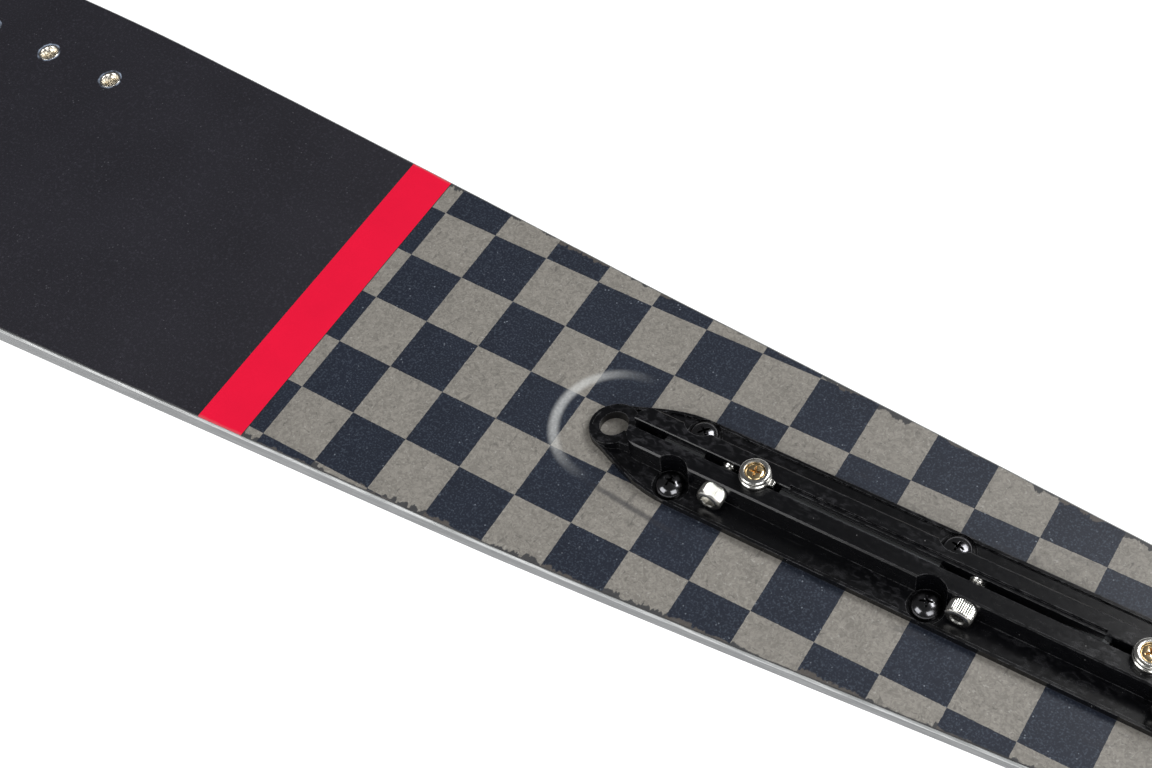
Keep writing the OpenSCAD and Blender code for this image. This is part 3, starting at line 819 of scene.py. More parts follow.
def solids_of(node: bpy.types.Object) -> List[Tuple[Vector, Vector]]:
    """Boxes of the separate solids in a node, sorted along X and then Y."""
    data = node.data
    keys = {}
    spot = [keys.setdefault(tuple(round(c, 6) for c in v.co), len(keys)) for v in data.vertices]
    owner = list(range(len(keys)))

    def root(i: int) -> int:
        """The first point of the solid that holds point i."""
        while owner[i] != i:
            owner[i] = owner[owner[i]]
            i = owner[i]
        return i

    for polygon in data.polygons:
        first = root(spot[polygon.vertices[0]])
        for v in polygon.vertices[1:]:
            owner[root(spot[v])] = first
    groups: Dict[int, List[Tuple[float, ...]]] = {}
    for place, i in keys.items():
        groups.setdefault(root(i), []).append(place)
    boxes = [(Vector(np.min(g, 0)), Vector(np.max(g, 0))) for g in groups.values()]
    return sorted(boxes, key=lambda b: (round(b[0].x, 4), b[0].y))


def arc(middle: Pair, radius: float, start: float, end: float, steps: int) -> List[Pair]:
    """Points on a round, angles in degrees."""
    angles = [math.radians(start + (end - start) * k / steps) for k in range(steps + 1)]
    return [(middle[0] + radius * math.cos(a), middle[1] + radius * math.sin(a)) for a in angles]


def upright(x: float, y: float, z: float, turn: float = 0.0) -> Matrix:
    """A place whose own Z axis points up, turned by some degrees."""
    return Matrix.Translation((x, y, z)) @ Matrix.Rotation(math.radians(turn), 4, "Z")


def sideways(x: float, y: float, z: float, turn: float = 0.0) -> Matrix:
    """A place whose own Z axis points along +Y, turned by some degrees."""
    tip = Matrix.Rotation(math.radians(-90), 4, "X")
    return Matrix.Translation((x, y, z)) @ tip @ Matrix.Rotation(math.radians(turn), 4, "Z")


def thread(pitch: float, depth: float, low: float, high: float) -> Ripple:
    """Ripple that cuts a screw thread between two heights."""

    def change(radius: float, angle: float, height: float) -> float:
        """Change of radius at one point."""
        if not low < height < high:
            return 0.0
        phase = (height / pitch - angle / (2 * math.pi)) % 1.0
        return -depth * abs(2 * phase - 1)

    return change


def knurl(ridges: int, depth: float, low: float, high: float) -> Ripple:
    """Ripple that cuts straight ridges between two heights."""

    def change(radius: float, angle: float, height: float) -> float:
        """Change of radius at one point."""
        if not low <= height <= high:
            return 0.0
        return -depth * abs(math.sin(ridges * angle / 2)) ** 0.7

    return change


def steps(low: float, high: float, step: float) -> List[float]:
    """Heights from low to high at about the given step."""
    count = max(1, round((high - low) / step))
    return [low + (high - low) * k / count for k in range(count + 1)]


def cross_cutter(reach: float, arm: float, deep: float, places: Sequence[Matrix]) -> bpy.types.Object:
    """Tapered cross-shaped cutter below each place, for a cross recess."""
    solid = Solid()
    outline = []
    for turn in range(4):
        c, s = math.cos(turn * math.pi / 2), math.sin(turn * math.pi / 2)
        for x, y in ((arm, -arm), (reach * 0.9, -arm * 0.82), (reach, -arm * 0.5), (reach, arm * 0.5),
                     (reach * 0.9, arm * 0.82)):
            outline.append((x * c - y * s, x * s + y * c))
    for place in places:
        lower = solid.points([place @ Vector((x * 0.42, y * 0.62, -deep)) for x, y in outline])
        tip = solid.points([place @ Vector((0, 0, -deep * 1.25))])
        upper = solid.points([place @ Vector((x * 1.1, y * 1.06, deep * 0.5)) for x, y in outline])
        solid.bridge(lower, upper)
        solid.bridge(tip * len(lower), lower)
        solid.face(*upper)
    return solid.object("cross_cutter")


# ---- dressing ---------------------------------------------------------------------------


@dataclass
class Workshop:
    """Puts finished pieces on their bodies and keeps the CAD nodes at hand."""

    nodes: Dict[str, bpy.types.Object]
    bodies: Dict[str, str]

    def place(self, piece: bpy.types.Object, finish: Finish, slot: str, *stands_for: str) -> bpy.types.Object:
        """Dresses a new piece, rides it on the body of the first node that it stands for.

        Args:
            piece: The new piece.
            finish: Its finish.
            slot: The record's material slot; not used.
            stands_for: CAD nodes that it replaces.

        Returns:
            The same piece.
        """
        piece.data.materials.clear()
        piece.data.materials.append(finish.material())
        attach(piece, self.bodies[stands_for[0]])
        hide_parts(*stands_for)
        LOG.info("%s: %d faces, %s", piece.name, len(piece.data.polygons), finish.name)
        return piece

    def dress(self, name: str, finish: Finish) -> None:
        """Gives a CAD node that keeps its shape a better material."""
        node = self.nodes[name]
        node.data.materials.clear()
        node.data.materials.append(finish.material())
        LOG.info("%s: kept, %s", name, finish.name)

    def rounded(
        self, name: str, finish: Finish, slot: str, radius: float, angle: float = 32.0
    ) -> bpy.types.Object:
        """Replaces a CAD node with a copy whose edges are rounded."""
        piece = soften(copy_of(self.nodes[name], name + "_finished"), radius, angle=angle)
        return self.place(piece, finish, slot, name)


# ---- board ------------------------------------------------------------------------------


class Level(Enum):
    """The height that a point of a cross-section counts from."""

    DECK = "deck"
    FOOT = "foot"


@dataclass(frozen=True)
class Spot:
    """A point of a cross-section: inset from the outline, and height above a level."""

    inset: float
    level: Level
    rise: float


@dataclass(frozen=True)
class Station:
    """A place on the board's outline with its outward direction.

    Where square is set, a cross-section there lies square across the board.
    """

    x: float
    y: float
    nx: float
    ny: float
    square: bool = False


class Outline:
    """The board's edge, read from the side wall and drawn smooth from tail to tip."""

    def __init__(self, wall: bpy.types.Object, skins: float, fine: int = 6) -> None:
        """Reads the outline.

        Args:
            wall: The side wall's CAD node.
            skins: Thickness of film and laminate above the side wall.
            fine: Steps between two of the wall's own stations.
        """
        self.rough = self._read(wall)
        x, y, top, foot = self.rough.T
        s = np.r_[0, np.cumsum(np.hypot(np.diff(x), np.diff(y)))]
        self.s = s
        between = [np.linspace(a, b, fine, endpoint=False) for a, b in zip(s, s[1:])]
        self.fine_s = np.concatenate(between + [s[-1:]])
        self.x = self.smooth(x, (0.0, 0.0))
        self.y = self.smooth(y, (1.0, -1.0))
        self.x_top = (self.x, self.smooth(top + skins))
        self.x_foot = (self.x, self.smooth(foot))
        dx, dy = np.gradient(self.x, self.fine_s), np.gradient(self.y, self.fine_s)
        dx[0], dy[0], dx[-1], dy[-1] = 0, 1, 0, -1
        size = np.hypot(dx, dy)
        self.normal = (-dy / size, dx / size)

    @staticmethod
    def _read(wall: bpy.types.Object) -> np.ndarray:
        """Rows of x, half width, top and foot at the wall's own stations, from tail to tip."""
        data = wall.data
        co = np.array([v.co for v in data.vertices])
        low, high = co[:, 0].min() + 40 * MM, co[:, 0].max() - 50 * MM
        found: Dict[Pair, List[float]] = {}
        for polygon in data.polygons:
            n, c = polygon.normal, polygon.center
            away = Vector((c.x - min(max(c.x, low), high), c.y))
            if abs(n.z) > 0.5 or n.xy.dot(away) <= 0:
                continue
            for i in polygon.vertices:
                if co[i, 1] > 0:
                    found.setdefault((round(co[i, 0], 6), round(co[i, 1], 6)), []).append(co[i, 2])
        return np.array([(x, y, max(z), min(z)) for (x, y), z in sorted(found.items())])

    def smooth(self, values: np.ndarray, ends: Optional[Pair] = None) -> np.ndarray:
        """Draws a smooth line through values at the wall's stations."""
        slope = np.gradient(values, self.s)
        if ends is not None:
            slope[0], slope[-1] = ends
        i = np.clip(np.searchsorted(self.s, self.fine_s, "right") - 1, 0, len(self.s) - 2)
        h = self.s[i + 1] - self.s[i]
        t = (self.fine_s - self.s[i]) / h
        return (
            (2 * t**3 - 3 * t**2 + 1) * values[i]
            + (t**3 - 2 * t**2 + t) * h * slope[i]
            + (3 * t**2 - 2 * t**3) * values[i + 1]
            + (t**3 - t**2) * h * slope[i + 1]
        )

    def height(self, level: Level, x: float) -> float:
        """Height of the deck or of the side wall's foot at x."""
        return float(np.interp(x, *(self.x_top if level is Level.DECK else self.x_foot)))

    def half_width(self, x: float) -> float:
        """Half width of the board at x."""
        return float(np.interp(x, self.x, self.y))

    def stations(self, low: Optional[float] = None, high: Optional[float] = None) -> List[Station]:
        """Stations between two distances along X, squared off where a limit is given."""
        found = [
            Station(*row)
            for row in zip(self.x, self.y, *self.normal)
            if (low is None or row[0] > low + MM) and (high is None or row[0] < high - MM)
        ]
        if low is not None:
            found.insert(0, Station(low, self.half_width(low), 0, 1, True))
        if high is not None:
            found.append(Station(high, self.half_width(high), 0, 1, True))
        return found

    def curve(self, count: int = 40) -> OutlineCurve:
        """The half width along the board, as points for a float curve."""
        low, high, reach = float(self.x[0]), float(self.x[-1]), 0.1
        shares = [k / count for k in range(count + 1)]
        points = tuple((t, self.half_width(low + t * (high - low)) / reach) for t in shares)
        return OutlineCurve(low, high, reach, points)


@dataclass
class Board:
    """The laminated board: films, laminates, side wall, core, plates and inserts."""

    shop: Workshop
    film_t: float = 0.5 * MM
    laminate_t: float = 1.3 * MM
    rim: float = 0.8 * MM
    wall_t: float = 6 * MM
    base_t: float = 1.4 * MM
    slot_w: float = 7 * MM
    insert_gap: float = 0.12 * MM
    check_corner_x: float = 372.1 * MM - TAIL_TO_MIDDLE
    check_line_y: float = -0.305 * INCH
    nose_x: float = 277.4 * MM - TAIL_TO_MIDDLE
    outline: Outline = field(init=False)
    inserts: List[Tuple[Vector, Vector]] = field(init=False)

    def __post_init__(self) -> None:
        """Reads the outline and the inserts' places from the CAD nodes."""
        nodes = self.shop.nodes
        self.outline = Outline(nodes["sidewall"], self.film_t + self.laminate_t)
        self.inserts = solids_of(nodes["rear_binding_inserts"]) + solids_of(nodes["front_binding_inserts"])

    def spot_place(self, station: Station, spot: Spot, side: int) -> Vector:
        """A cross-section's point on one side of the board."""
        x = station.x if station.square else station.x - spot.inset * station.nx
        y = station.y - spot.inset * station.ny
        return Vector((x, side * max(y, 0.4 * MM), self.outline.height(spot.level, x) + spot.rise))

    def skin(
        self, name: str, spots: Sequence[Spot], stations: Sequence[Station], filled: bool = True
    ) -> bpy.types.Object:
        """Draws a cross-section round the board.

        Args:
            name: The new object's name.
            spots: The cross-section at the edge, from the upper inner point outwards and
                round to the lower inner point.
            stations: Where it stands on the outline, from tail to tip.
            filled: True for a slab across the whole board, False for a ring.

        Returns:
            The new object.
        """
        solid = Solid()
        rows = {
            side: [solid.points([self.spot_place(s, spot, side) for spot in spots]) for s in stations]
            for side in (1, -1)
        }
        loop = rows[1] + rows[-1][::-1]
        for k, row in enumerate(loop):
            solid.bridge(row, loop[(k + 1) % len(loop)], closed=not filled)
        if filled:
            for k in range(len(stations) - 1):
                for j in (0, -1):
                    solid.face(rows[1][k][j], rows[1][k + 1][j], rows[-1][k + 1][j], rows[-1][k][j])
        return solid.object(name)

    def hole_cutter(self, with_block: bool) -> bpy.types.Object:
        """Cutter for the inserts' holes, and for the slot and holes under the block."""
        solid = Solid()
        for low, high in self.inserts:
            middle = (low + high) / 2
            r = (high.x - low.x) / 2 + self.insert_gap
            solid.turned([(r, -5 * MM), (r, 5 * MM)], upright(middle.x, middle.y, high.z), 56)
        if with_block:
            for low, high in solids_of(self.shop.nodes["block_inserts"]):
                middle = (low + high) / 2
                r = (high.x - low.x) / 2
                solid.turned([(r, -5 * MM), (r, 5 * MM)], upright(middle.x, middle.y, high.z), 40)
            self.slot_prism(solid)
        return solid.object("hole_cutter")

    def slot_prism(self, solid: Solid) -> None:
        """Adds the long slot through the board to a cutter."""
        low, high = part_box("slot_liner")
        r = self.slot_w / 2
        outline = arc((high.x - r, 0), r, -90, 90, 12) + arc((low.x + r, 0), r, 90, 270, 12)
        solid.prism(outline, low.z - 10 * MM, high.z + 10 * MM, Matrix.Identity(4))

    def film_spots(self) -> List[Spot]:
        """Cross-section of a film at the board's edge."""
        return [
            Spot(self.rim + 0.42 * MM, Level.DECK, 0.0),
            Spot(self.rim + 0.20 * MM, Level.DECK, -0.04 * MM),
            Spot(self.rim + 0.05 * MM, Level.DECK, -0.15 * MM),
            Spot(self.rim, Level.DECK, -0.30 * MM),
            Spot(self.rim, Level.DECK, -self.film_t),
        ]

    def build_films(self) -> None:
        """Makes the three films of the top."""
        band_low, band_high = (p.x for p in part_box("topsheet_band"))
        curve = self.outline.curve()
        rear = solids_of(self.shop.nodes["rear_binding_inserts"])
        front = solids_of(self.shop.nodes["front_binding_inserts"])
        middles = [sorted({round((a.x + b.x) / 2, 5) for a, b in boxes}) for boxes in (rear, front)]
        charcoal = CharcoalFilm("charcoal_film", curve, tuple((m[0], m[-1]) for m in middles),
                                middles[0][1] - middles[0][0], (rear[-1][0].y + rear[-1][1].y) / 2)
        checks = CheckFilm("check_film", curve, self.check_corner_x, self.check_line_y, band_low,
                           self.nose_x)
        plans = (
            ("topsheet_front", band_high, None, charcoal, "film_charcoal"),
            ("topsheet_band", band_low, band_high, RedFilm("red_film", curve), "film_red"),
            ("topsheet_tail", None, band_low, checks, "film_check"),
        )
        for node, low, high, finish, slot in plans:
            film = self.skin(node + "_skin", self.film_spots(), self.outline.stations(low, high))
            if node != "topsheet_band":
                cut(film, self.hole_cutter(node == "topsheet_tail"))
            soften(film, 0.0)
            self.shop.place(film, finish, slot, node)

    def build_laminate(self) -> None:
        """Makes the laminate under the films, with the clear rim that shows around them."""
        low = -self.film_t - self.laminate_t
        spots = [
            Spot(3 * MM, Level.DECK, -self.film_t),
            Spot(self.rim - 0.1 * MM, Level.DECK, -self.film_t),
            Spot(0.45 * MM, Level.DECK, -self.film_t - 0.05 * MM),
            Spot(0.20 * MM, Level.DECK, -self.film_t - 0.18 * MM),
            Spot(0.05 * MM, Level.DECK, -self.film_t - 0.40 * MM),
            Spot(0.0, Level.DECK, -self.film_t - 0.65 * MM),
            Spot(0.0, Level.DECK, low + 0.15 * MM),
            Spot(0.12 * MM, Level.DECK, low),
            Spot(3 * MM, Level.DECK, low),
        ]
        laminate = self.skin("top_laminate_skin", spots, self.outline.stations())
        cut(laminate, self.hole_cutter(True))
        soften(laminate, 0.0)
        rim = Coated("clear_laminate", (0.30, 0.31, 0.31), (0.52, 0.53, 0.53), 0.20, 1.2, 0.5)
        self.shop.place(laminate, rim, "laminate_light", "top_laminate")

    def build_wall(self) -> None:
        """Makes the side wall, slightly hollow between two rounded edges."""
        top = -self.film_t - self.laminate_t
        spots = [
            Spot(self.wall_t, Level.DECK, top),
            Spot(0.25 * MM, Level.DECK, top),
            Spot(0.05 * MM, Level.DECK, top - 0.10 * MM),
            Spot(0.0, Level.DECK, top - 0.35 * MM),
            Spot(0.10 * MM, Level.FOOT, 1.6 * MM),
            Spot(0.0, Level.FOOT, 0.5 * MM),
            Spot(0.05 * MM, Level.FOOT, 0.12 * MM),
            Spot(0.2 * MM, Level.FOOT, 0.0),
            Spot(self.wall_t, Level.FOOT, 0.0),
        ]
        wall = soften(self.skin("sidewall_skin", spots, self.outline.stations(), filled=False), 0.0)
        finish = Coated("side_wall", (0.135, 0.14, 0.145), (0.19, 0.195, 0.20), 0.36, 1.6, 0.1)
        self.shop.place(wall, finish, "sidewall_grey", "sidewall")

    def base_rows(self) -> Optional[np.ndarray]:
        """Half profiles of the base at the outline's own stations: [station, point, y and z]."""
        data = self.shop.nodes["base_laminate"].data
        low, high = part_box("slot_liner")
        co = np.array([v.co for v in data.vertices])
        down = sorted({i for p in data.polygons if p.normal.z < -0.02 for i in p.vertices})
        co = co[down]
        rows = []
        for x, half, _, _ in self.outline.rough:
            near = co[(abs(co[:, 0] - x) < 2e-5) & (co[:, 1] > 0)]
            if low.x - MM < x < high.x + MM:
                near = near[near[:, 1] > self.slot_w / 2 + 0.1 * MM]
            found = sorted({(round(float(y), 5), round(float(z), 5)) for _, y, z in near}, reverse=True)
            rows.append(found)
        counts = sorted({len(r) for r in rows})
        if counts != [6]:
            LOG.warning("base profile has %s points a station", counts)
            return None
        return np.array(rows)

    def build_base(self) -> None:
        """Makes the base with its tunnel, flats and bevels, drawn smooth along the board."""
        finish = Coated("base_gloss", (0.34, 0.35, 0.36), (0.42, 0.43, 0.44), 0.20, 4.0, 0.5)
        rows = self.base_rows()
        if rows is None:
            self.shop.rounded("base_laminate", finish, "base_gloss", 0.0)
            return
        lines = [(self.outline.smooth(rows[:, j, 0]), self.outline.smooth(rows[:, j, 1])) for j in range(6)]
        solid = Solid()
        outer, inner = [], []
        for k, x in enumerate(self.outline.x):
            foot = self.outline.height(Level.FOOT, x)
            half = [(y[k], z[k]) for y, z in lines]
            outer.append(solid.points(self.across(x, half)))
            lift = [(max(y - (self.base_t if j < 2 else 0), 0.3 * MM), min(z + self.base_t, foot))
                    for j, (y, z) in enumerate(half)]
            inner.append(solid.points(self.across(x, lift)))
        for k in range(len(outer) - 1):
            solid.bridge(outer[k], outer[k + 1], closed=False)
            solid.bridge(inner[k], inner[k + 1], closed=False)
            for j in (0, -1):
                solid.face(outer[k][j], outer[k + 1][j], inner[k + 1][j], inner[k][j])
        for k in (0, -1):
            solid.bridge(outer[k], inner[k], closed=False)
        base = solid.object("base_laminate_skin")
        cutter = Solid()
        self.slot_prism(cutter)
        cut(base, cutter.object("slot_cutter"))
        self.shop.place(soften(base, 0.0), finish, "base_gloss", "base_laminate")

    @staticmethod
    def across(x: float, half: Sequence[Pair]) -> List[Vector]:
        """A whole cross-section from its half on the +Y side."""
        return [Vector((x, y, z)) for y, z in half] + [Vector((x, -y, z)) for y, z in half[::-1]]

    def build_inserts(self) -> None:
        """Makes the threaded inserts with their countersunk, polished mouths."""
        finish = Metal("plated_insert", (0.84, 0.80, 0.72), (0.60, 0.55, 0.46), 0.24, edge_wear_and_highlight=0.0,
                       relief=0.0005 * MM)
        for node in ("rear_binding_inserts", "front_binding_inserts"):
            solid = Solid()
            for low, high in solids_of(self.shop.nodes[node]):
                middle = (low + high) / 2
                outer, deep = (high.x - low.x) / 2, high.z - low.z
                place = upright(middle.x, middle.y, high.z)
                grooves = steps(5 * MM, deep - 2.2 * MM, 0.25 * MM)
                profile = [(0, -deep), (outer - 0.3 * MM, -deep), (outer, -deep + 0.3 * MM)]
                profile += [(outer, -0.25 * MM)] + arc((outer - 0.22 * MM, -0.2 * MM), 0.22 * MM, 0, 90, 4)
                profile += [(outer - 0.75 * MM, 0.02 * MM), (outer - 0.95 * MM, -0.12 * MM)]
                profile += [(3.60 * MM, -0.50 * MM), (3.40 * MM, -0.90 * MM), (3.12 * MM, -1.45 * MM),
                            (2.85 * MM, -2.10 * MM), (2.65 * MM, -2.75 * MM), (2.5 * MM, -3.5 * MM)]
                profile += [((2.5 - 0.14 * (k % 2)) * MM, -z) for k, z in enumerate(grooves)]
                profile += [(2.3 * MM, 2 * MM - deep), (0, 2 * MM - deep)]
                solid.turned(profile, place, 48)
            piece = soften(solid.object(node + "_turned"), 0.0, angle=40)
            self.shop.place(piece, finish, "insert_nickel", node)

    def build_inside(self) -> None:
        """Dresses what the board holds inside."""
        self.shop.dress("core", Foam("foam_core"))
        for name in ("rear_insert_plate", "front_insert_plate", "tail_insert_plate"):
            self.shop.dress(name, GlassPlate("glass_plate"))
        liner = Coated("liner_plastic", (0.012, 0.012, 0.013), (0.020, 0.020, 0.022), 0.42, 2.0, 0.1)
        self.shop.rounded("slot_liner", liner, "liner_plastic", 0.2 * MM)
        self.shop.dress("block_inserts", Metal("brass_insert", (0.72, 0.50, 0.20), (0.50, 0.33, 0.12)))

    def build(self) -> None:
        """Makes and dresses the whole board."""
        self.build_films()
        self.build_laminate()
        self.build_wall()
        self.build_base()
        self.build_inserts()
        self.build_inside()


# ---- fin block and its hardware ---------------------------------------------------------


@dataclass
class FinBlock:
    """The clamp block, its mounting and clamp screws and the depth adjusters."""

    shop: Workshop
    steel: Metal = Metal("satin_steel", (0.66, 0.65, 0.62), (0.48, 0.46, 0.41), 0.20)
    brass: Metal = Metal("brass", (0.82, 0.63, 0.36), (0.58, 0.38, 0.16), 0.20)

    def build_block(self) -> None:
        """Makes the block with rounded edges."""
        self.shop.rounded("fin_block", Anodised("black_anodised"), "black_anodised", 0.35 * MM)

    def build_pan_screws(self, head_r: float = 6 * MM, head_h: float = 4.4 * MM) -> None:
        """Makes the six pan-head screws, each turned its own way."""
        solid = Solid()
        places = []
        for k, (low, high) in enumerate(solids_of(self.shop.nodes["block_screws"])):
            middle = (low + high) / 2
            place = upright(middle.x, middle.y, high.z, 17 + 31 * k)
            places.append(place)
            seat, deep = -head_h, low.z - high.z
            round_mm = ((1.2, -0.03), (2.4, -0.22), (3.6, -0.62), (4.5, -1.2), (5.2, -1.95), (5.65, -2.7))
            dome = [(0, 0)] + [(r * MM, z * MM) for r, z in round_mm]
            side = [(head_r - 0.12 * MM, -3.3 * MM), (head_r, -3.7 * MM), (head_r, seat + 0.25 * MM),
                    (head_r - 0.2 * MM, seat), (3.1 * MM, seat)]
            shaft = [(3 * MM, z) for z in steps(-seat + 0.2 * MM, -deep - 0.6 * MM, 0.18 * MM)]
            shaft = [(r, -z) for r, z in shaft] + [(2.4 * MM, deep), (0, deep)]
            groove = thread(COARSE_PITCH, COARSE_DEPTH, deep, seat - 0.8 * MM)
            solid.turned(dome + side + shaft, place, 64, groove)
        screws = cut(solid.object("block_screws_turned"), cross_cutter(2.9 * MM, 0.62 * MM, 2.3 * MM, places))
        soften(screws, 0.10 * MM, 2, 42)
        self.shop.place(screws, BLACK_OXIDE, "black_screw", "block_screws")

    def build_clamp_screw(
        self, node: str, turn: float, head_r: float = 5 * MM, head_h: float = 6 * MM
    ) -> None:
        """Makes one knurled socket-head clamp screw, lying across the rails."""
        low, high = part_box(node)
        middle = (low + high) / 2
        seat = high.y - head_h
        place = sideways(middle.x, seat, middle.z, turn)
        length = seat - low.y
        lower, upper = 0.7 * MM, head_h - 0.9 * MM
        shaft = [(0, -length), (2.5 * MM, -length)]
        shaft += [(3 * MM, z) for z in steps(-length + 0.5 * MM, -0.2 * MM, 0.18 * MM)]
        head = [(head_r - 0.9 * MM, 0), (head_r - 0.45 * MM, 0), (head_r - 0.08 * MM, 0.35 * MM)]
        head += [(head_r, z) for z in steps(lower, upper, 0.6 * MM)]
        head += [(head_r - 0.12 * MM, head_h - 0.55 * MM), (head_r - 0.42 * MM, head_h - 0.2 * MM),
                 (head_r - 0.85 * MM, head_h), (0, head_h)]
        lines = knurl(40, 0.22 * MM, lower, upper)
        groove = thread(COARSE_PITCH, COARSE_DEPTH, -length, -2.2 * MM)
        solid = Solid()
        solid.turned(shaft + head, place, 240, lambda r, a, h: lines(r, a, h) if h > 0 else groove(r, a, h))
        piece = solid.object(node + "_turned")
        socket = Solid()
        hexagon = arc((0, 0), 2.9 * MM, 0, 300, 5)
        socket.prism(hexagon, head_h - 3 * MM, head_h + 1 * MM, place)
        cut(piece, socket.object("socket_cutter"))
        mouth = Solid()
        mouth.turned([(2.3 * MM, head_h - 0.45 * MM), (3.3 * MM, head_h + 0.25 * MM)], place, 48)
        cut(piece, mouth.object("mouth_cutter"))
        soften(piece, 0.0, angle=28)
        self.shop.place(piece, self.steel, "stainless", node)

    def build_collar(self, node: str) -> None:
        """Makes one two-tier collar with its locating tab."""
        _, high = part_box(node)
        outer, tall = 6.1 * MM, 4.4 * MM
        place = upright(high.x - outer, 0, high.z - tall)
        tiers = [(2.05, -0.8), (4.0, -0.8), (4.0, 0.0), (5.8, 0.0), (6.0, 0.12), (6.1, 0.35), (6.1, 1.55),
                 (6.02, 1.75), (5.8, 1.9), (5.62, 2.05), (5.6, 2.3), (5.62, 2.5), (5.8, 2.65), (5.9, 2.85),
                 (5.9, 3.55), (5.8, 3.85), (5.55, 4.15), (5.2, 4.33), (4.9, 4.4), (4.25, 4.4), (4.0, 4.34),
                 (3.85, 4.15), (3.8, 3.9), (3.8, 2.4), (2.05, 2.4)]
        solid = Solid()
        rows = []
        for r, z in tiers:
            ring = [place @ Vector((r * MM * math.cos(a), r * MM * math.sin(a), z * MM))
                    for a in (2 * math.pi * k / 72 for k in range(72))]
            rows.append(solid.points(ring))
        for k, row in enumerate(rows):
            solid.bridge(row, rows[(k + 1) % len(rows)])
        collar = solid.object(node + "_turned")
        tab = Solid()
        outline = [(-4.4 * MM, -1.3 * MM), (-4.4 * MM, 1.3 * MM)]
        outline += arc((-7.1 * MM, 0.4 * MM), 0.9 * MM, 90, 180, 5)
        outline += arc((-7.1 * MM, -0.4 * MM), 0.9 * MM, 180, 270, 5)
        tab.prism(outline, 0.0, 1.7 * MM, place)
        tab_piece = soften(tab.object("tab"), 0.25 * MM, 3)
        soften(collar, 0.0, angle=30)
        self.join(collar, tab_piece)
        self.shop.place(collar, self.steel, "stainless", node)

    @staticmethod
    def join(piece: bpy.types.Object, *others: bpy.types.Object) -> None:
        """Adds the meshes of other objects to a piece and removes them."""
        mesh = bmesh.new()
        for source in (piece, *others):
            mesh.from_mesh(source.data)
        mesh.to_mesh(piece.data)
        mesh.free()
        for other in others:
            bpy.data.objects.remove(other)

    def build_adjuster_screw(self, node: str, turn: float) -> None:
        """Makes one brass adjuster screw with its cross recess and thread."""
        low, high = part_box(node)
        middle = (low + high) / 2
        place = upright(middle.x, middle.y, high.z, turn)
        deep = high.z - low.z
        head_mm = ((1.6, -0.02), (2.6, -0.08), (3.1, -0.2), (3.5, -0.5), (3.7, -0.9), (3.7, -1.6),
                   (3.6, -1.7), (2.05, -1.7))
        head = [(0, 0)] + [(r * MM, z * MM) for r, z in head_mm]
        shaft = [(2 * MM, -z) for z in steps(1.8 * MM, deep - 0.5 * MM, 0.12 * MM)]
        profile = head + shaft + [(1.5 * MM, -deep), (0, -deep)]
        solid = Solid()
        groove = thread(ADJUSTER_PITCH, ADJUSTER_DEPTH, -deep + 0.4 * MM, -3.2 * MM)
        solid.turned(profile, place, 64, groove)
        screw = cut(solid.object(node + "_turned"), cross_cutter(2.5 * MM, 0.52 * MM, 1.8 * MM, [place]))
        soften(screw, 0.08 * MM, 2, 42)
        self.shop.place(screw, self.brass, "brass_screw", node)

    def build(self) -> None:
        """Makes the block and its hardware."""
        self.build_block()
        self.build_pan_screws()
        for node, turn in (("clamp_screw_front", 8), ("clamp_screw_middle", 27), ("clamp_screw_rear", 49)):
            self.build_clamp_screw(node, turn)
        for end, turn in (("front", 12), ("rear", 39)):
            self.build_collar("adjuster_collar_" + end)
            self.build_adjuster_screw("adjuster_screw_" + end, turn)
            self.shop.rounded("adjuster_nut_" + end, self.brass, "brass_screw", 0.2 * MM)
        self.shop.rounded("adjuster_pins", self.steel, "stainless", 0.2 * MM)


# ---- fin and wing -----------------------------------------------------------------------


@dataclass
class FinAndWing:
    """The fin, the two wing halves and the screws that hold them."""

    shop: Workshop

    def build(self) -> None:
        """Makes the fin and the wing."""
        fin = Metal("brushed_fin", (0.33, 0.34, 0.355), (0.26, 0.27, 0.28), 0.30, (0.03, 1, 1), 0.7)
        wing = Metal("brushed_wing", (0.42, 0.43, 0.44), (0.33, 0.34, 0.35), 0.28, (0.08, 1, 1), 0.6)
        plain = Metal("plain_steel", (0.62, 0.62, 0.61), (0.46, 0.45, 0.43), 0.28)
        self.shop.rounded("fin", fin, "fin_aluminium", 0.0, angle=6.0)
        self.shop.rounded("wing_left", wing, "wing_aluminium", 0.35 * MM)
        self.shop.rounded("wing_right", wing, "wing_aluminium", 0.35 * MM)
        self.shop.rounded("wing_screws", BLACK_OXIDE, "black_screw", 0.15 * MM)
        self.shop.rounded("wing_nuts", plain, "stainless", 0.25 * MM)


# ---- studio -----------------------------------------------------------------------------


@dataclass(frozen=True)
class Softbox:
    """A large soft light that looks at a point."""

    name: str
    place: Tuple[float, float, float]
    aim: Tuple[float, float, float]
    size: float
    watts: float


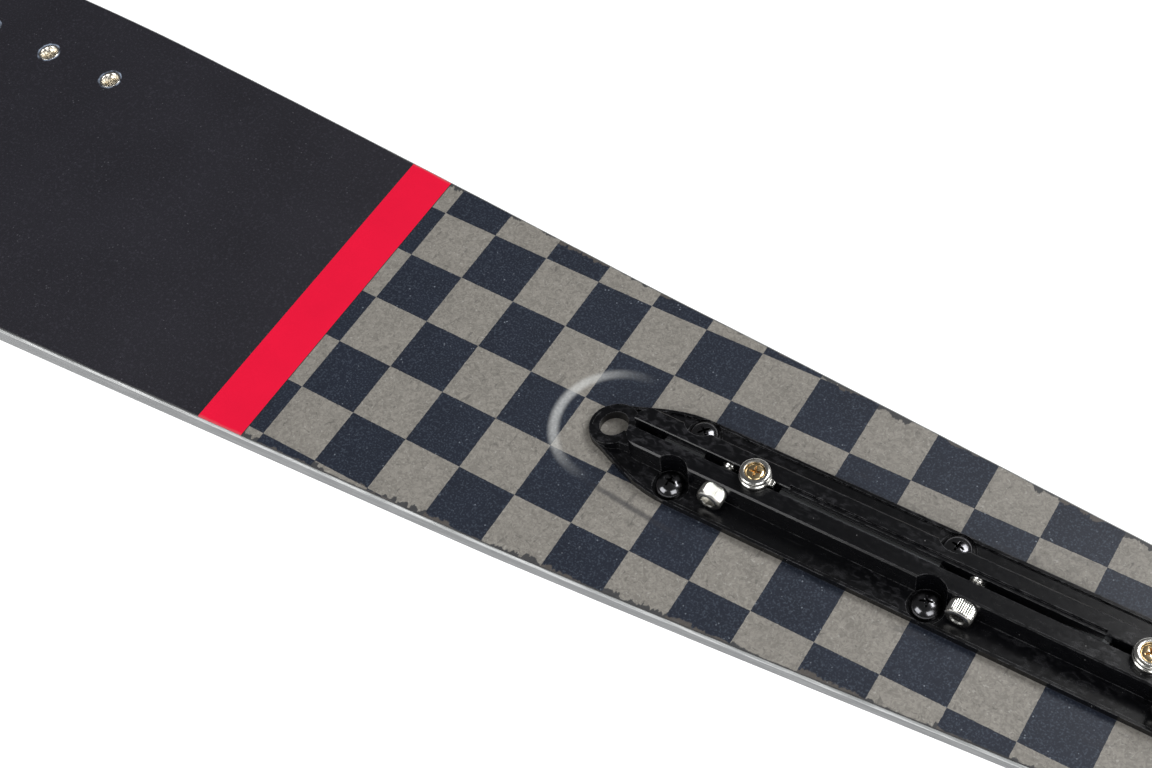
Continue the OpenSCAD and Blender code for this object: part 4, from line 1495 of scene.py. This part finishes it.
@dataclass
class Studio:
    """Camera, floor and lights."""

    eye: Tuple[float, float, float] = (-0.8178, 0.3022, 0.6482)
    look: Tuple[float, float, float] = (0.38165, -0.44428, -0.81053)
    up: Tuple[float, float, float] = (0.38381, -0.72156, 0.57624)
    lens: float = 56.13
    floor_half: float = 60.0
    sky: float = 0.10
    lights: Tuple[Softbox, ...] = (
        Softbox("key", (-1.5, -1.3, 1.9), (-0.5, 0.0, 0.08), 1.2, 52.0),
        Softbox("fill", (0.6, 1.8, 1.6), (-0.4, 0.0, 0.08), 1.6, 38.0),
        Softbox("front", (-2.2, 1.0, 1.5), (-0.5, 0.0, 0.08), 1.4, 30.0),
    )

    def build_camera(self) -> None:
        """Places the camera."""
        data = bpy.data.cameras.new("camera")
        data.lens = self.lens
        data.sensor_width = 36.0
        data.clip_start = 0.01
        data.clip_end = 100.0
        camera = bpy.data.objects.new("camera", data)
        look, up = Vector(self.look).normalized(), Vector(self.up).normalized()
        right = look.cross(up).normalized()
        up = right.cross(look)
        turn = Matrix((right, up, -look)).transposed().to_4x4()
        camera.matrix_world = Matrix.Translation(self.eye) @ turn
        bpy.context.scene.collection.objects.link(camera)
        bpy.context.scene.camera = camera

    def build_floor(self) -> None:
        """Lays the floor under the lowest point of the object."""
        solid = Solid()
        h = self.floor_half
        square = ((-h, -h, 0), (h, -h, 0), (h, h, 0), (-h, h, 0))
        solid.face(*solid.points([Vector(corner) for corner in square]))
        floor = solid.object("floor")
        floor.location.z = -0.5 * MM
        floor.data.materials.append(StudioFloor("studio_floor").material())

    def build_lights(self) -> None:
        """Hangs the softboxes and sets the soft surround."""
        for box in self.lights:
            data = bpy.data.lights.new(box.name, "AREA")
            data.energy = box.watts
            data.size = box.size
            light = bpy.data.objects.new(box.name, data)
            light.location = box.place
            way = Vector(box.aim) - Vector(box.place)
            light.rotation_euler = way.to_track_quat("-Z", "Y").to_euler()
            bpy.context.scene.collection.objects.link(light)
        self.build_surround()
        view = bpy.context.scene.view_settings
        view.view_transform = "Standard"
        view.look = "None"

    def build_surround(self) -> None:
        """Sets a surround that is dim as a light and white where it is seen behind the floor."""
        world = bpy.data.worlds.new("surround")
        world.use_nodes = True
        tree = world.node_tree
        seen = tree.nodes.new("ShaderNodeLightPath")
        shade = tree.nodes.new("ShaderNodeMapRange")
        shade.inputs["To Min"].default_value = self.sky
        shade.inputs["To Max"].default_value = 1.0
        tree.links.new(seen.outputs["Is Camera Ray"], shade.inputs["Value"])
        back = tree.nodes["Background"]
        back.inputs["Color"].default_value = (1.0, 1.0, 1.0, 1.0)
        tree.links.new(shade.outputs["Result"], back.inputs["Strength"])
        bpy.context.scene.world = world

    def build(self) -> None:
        """Sets up the whole studio."""
        self.build_camera()
        self.build_floor()
        self.build_lights()


def clear_scene() -> None:
    """Removes whatever the new file came with."""
    for item in list(bpy.data.objects):
        bpy.data.objects.remove(item)


def corners(box: Tuple[Vector, Vector]) -> List[List[float]]:
    """A box's two corners as plain lists."""
    return [list(corner) for corner in box]


def main() -> None:
    """Loads the frame and builds the object's looks in order."""
    logging.basicConfig(level=logging.INFO, format="%(name)s: %(message)s")
    clear_scene()
    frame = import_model()
    bodies = {node: body for body, names in frame["record"]["behaviour"]["bodies"].items() for node in names}
    shop = Workshop(frame["nodes"], bodies)
    Studio().build()
    Board(shop).build()
    FinBlock(shop).build()
    FinAndWing(shop).build()


if __name__ == "__main__":
    main()
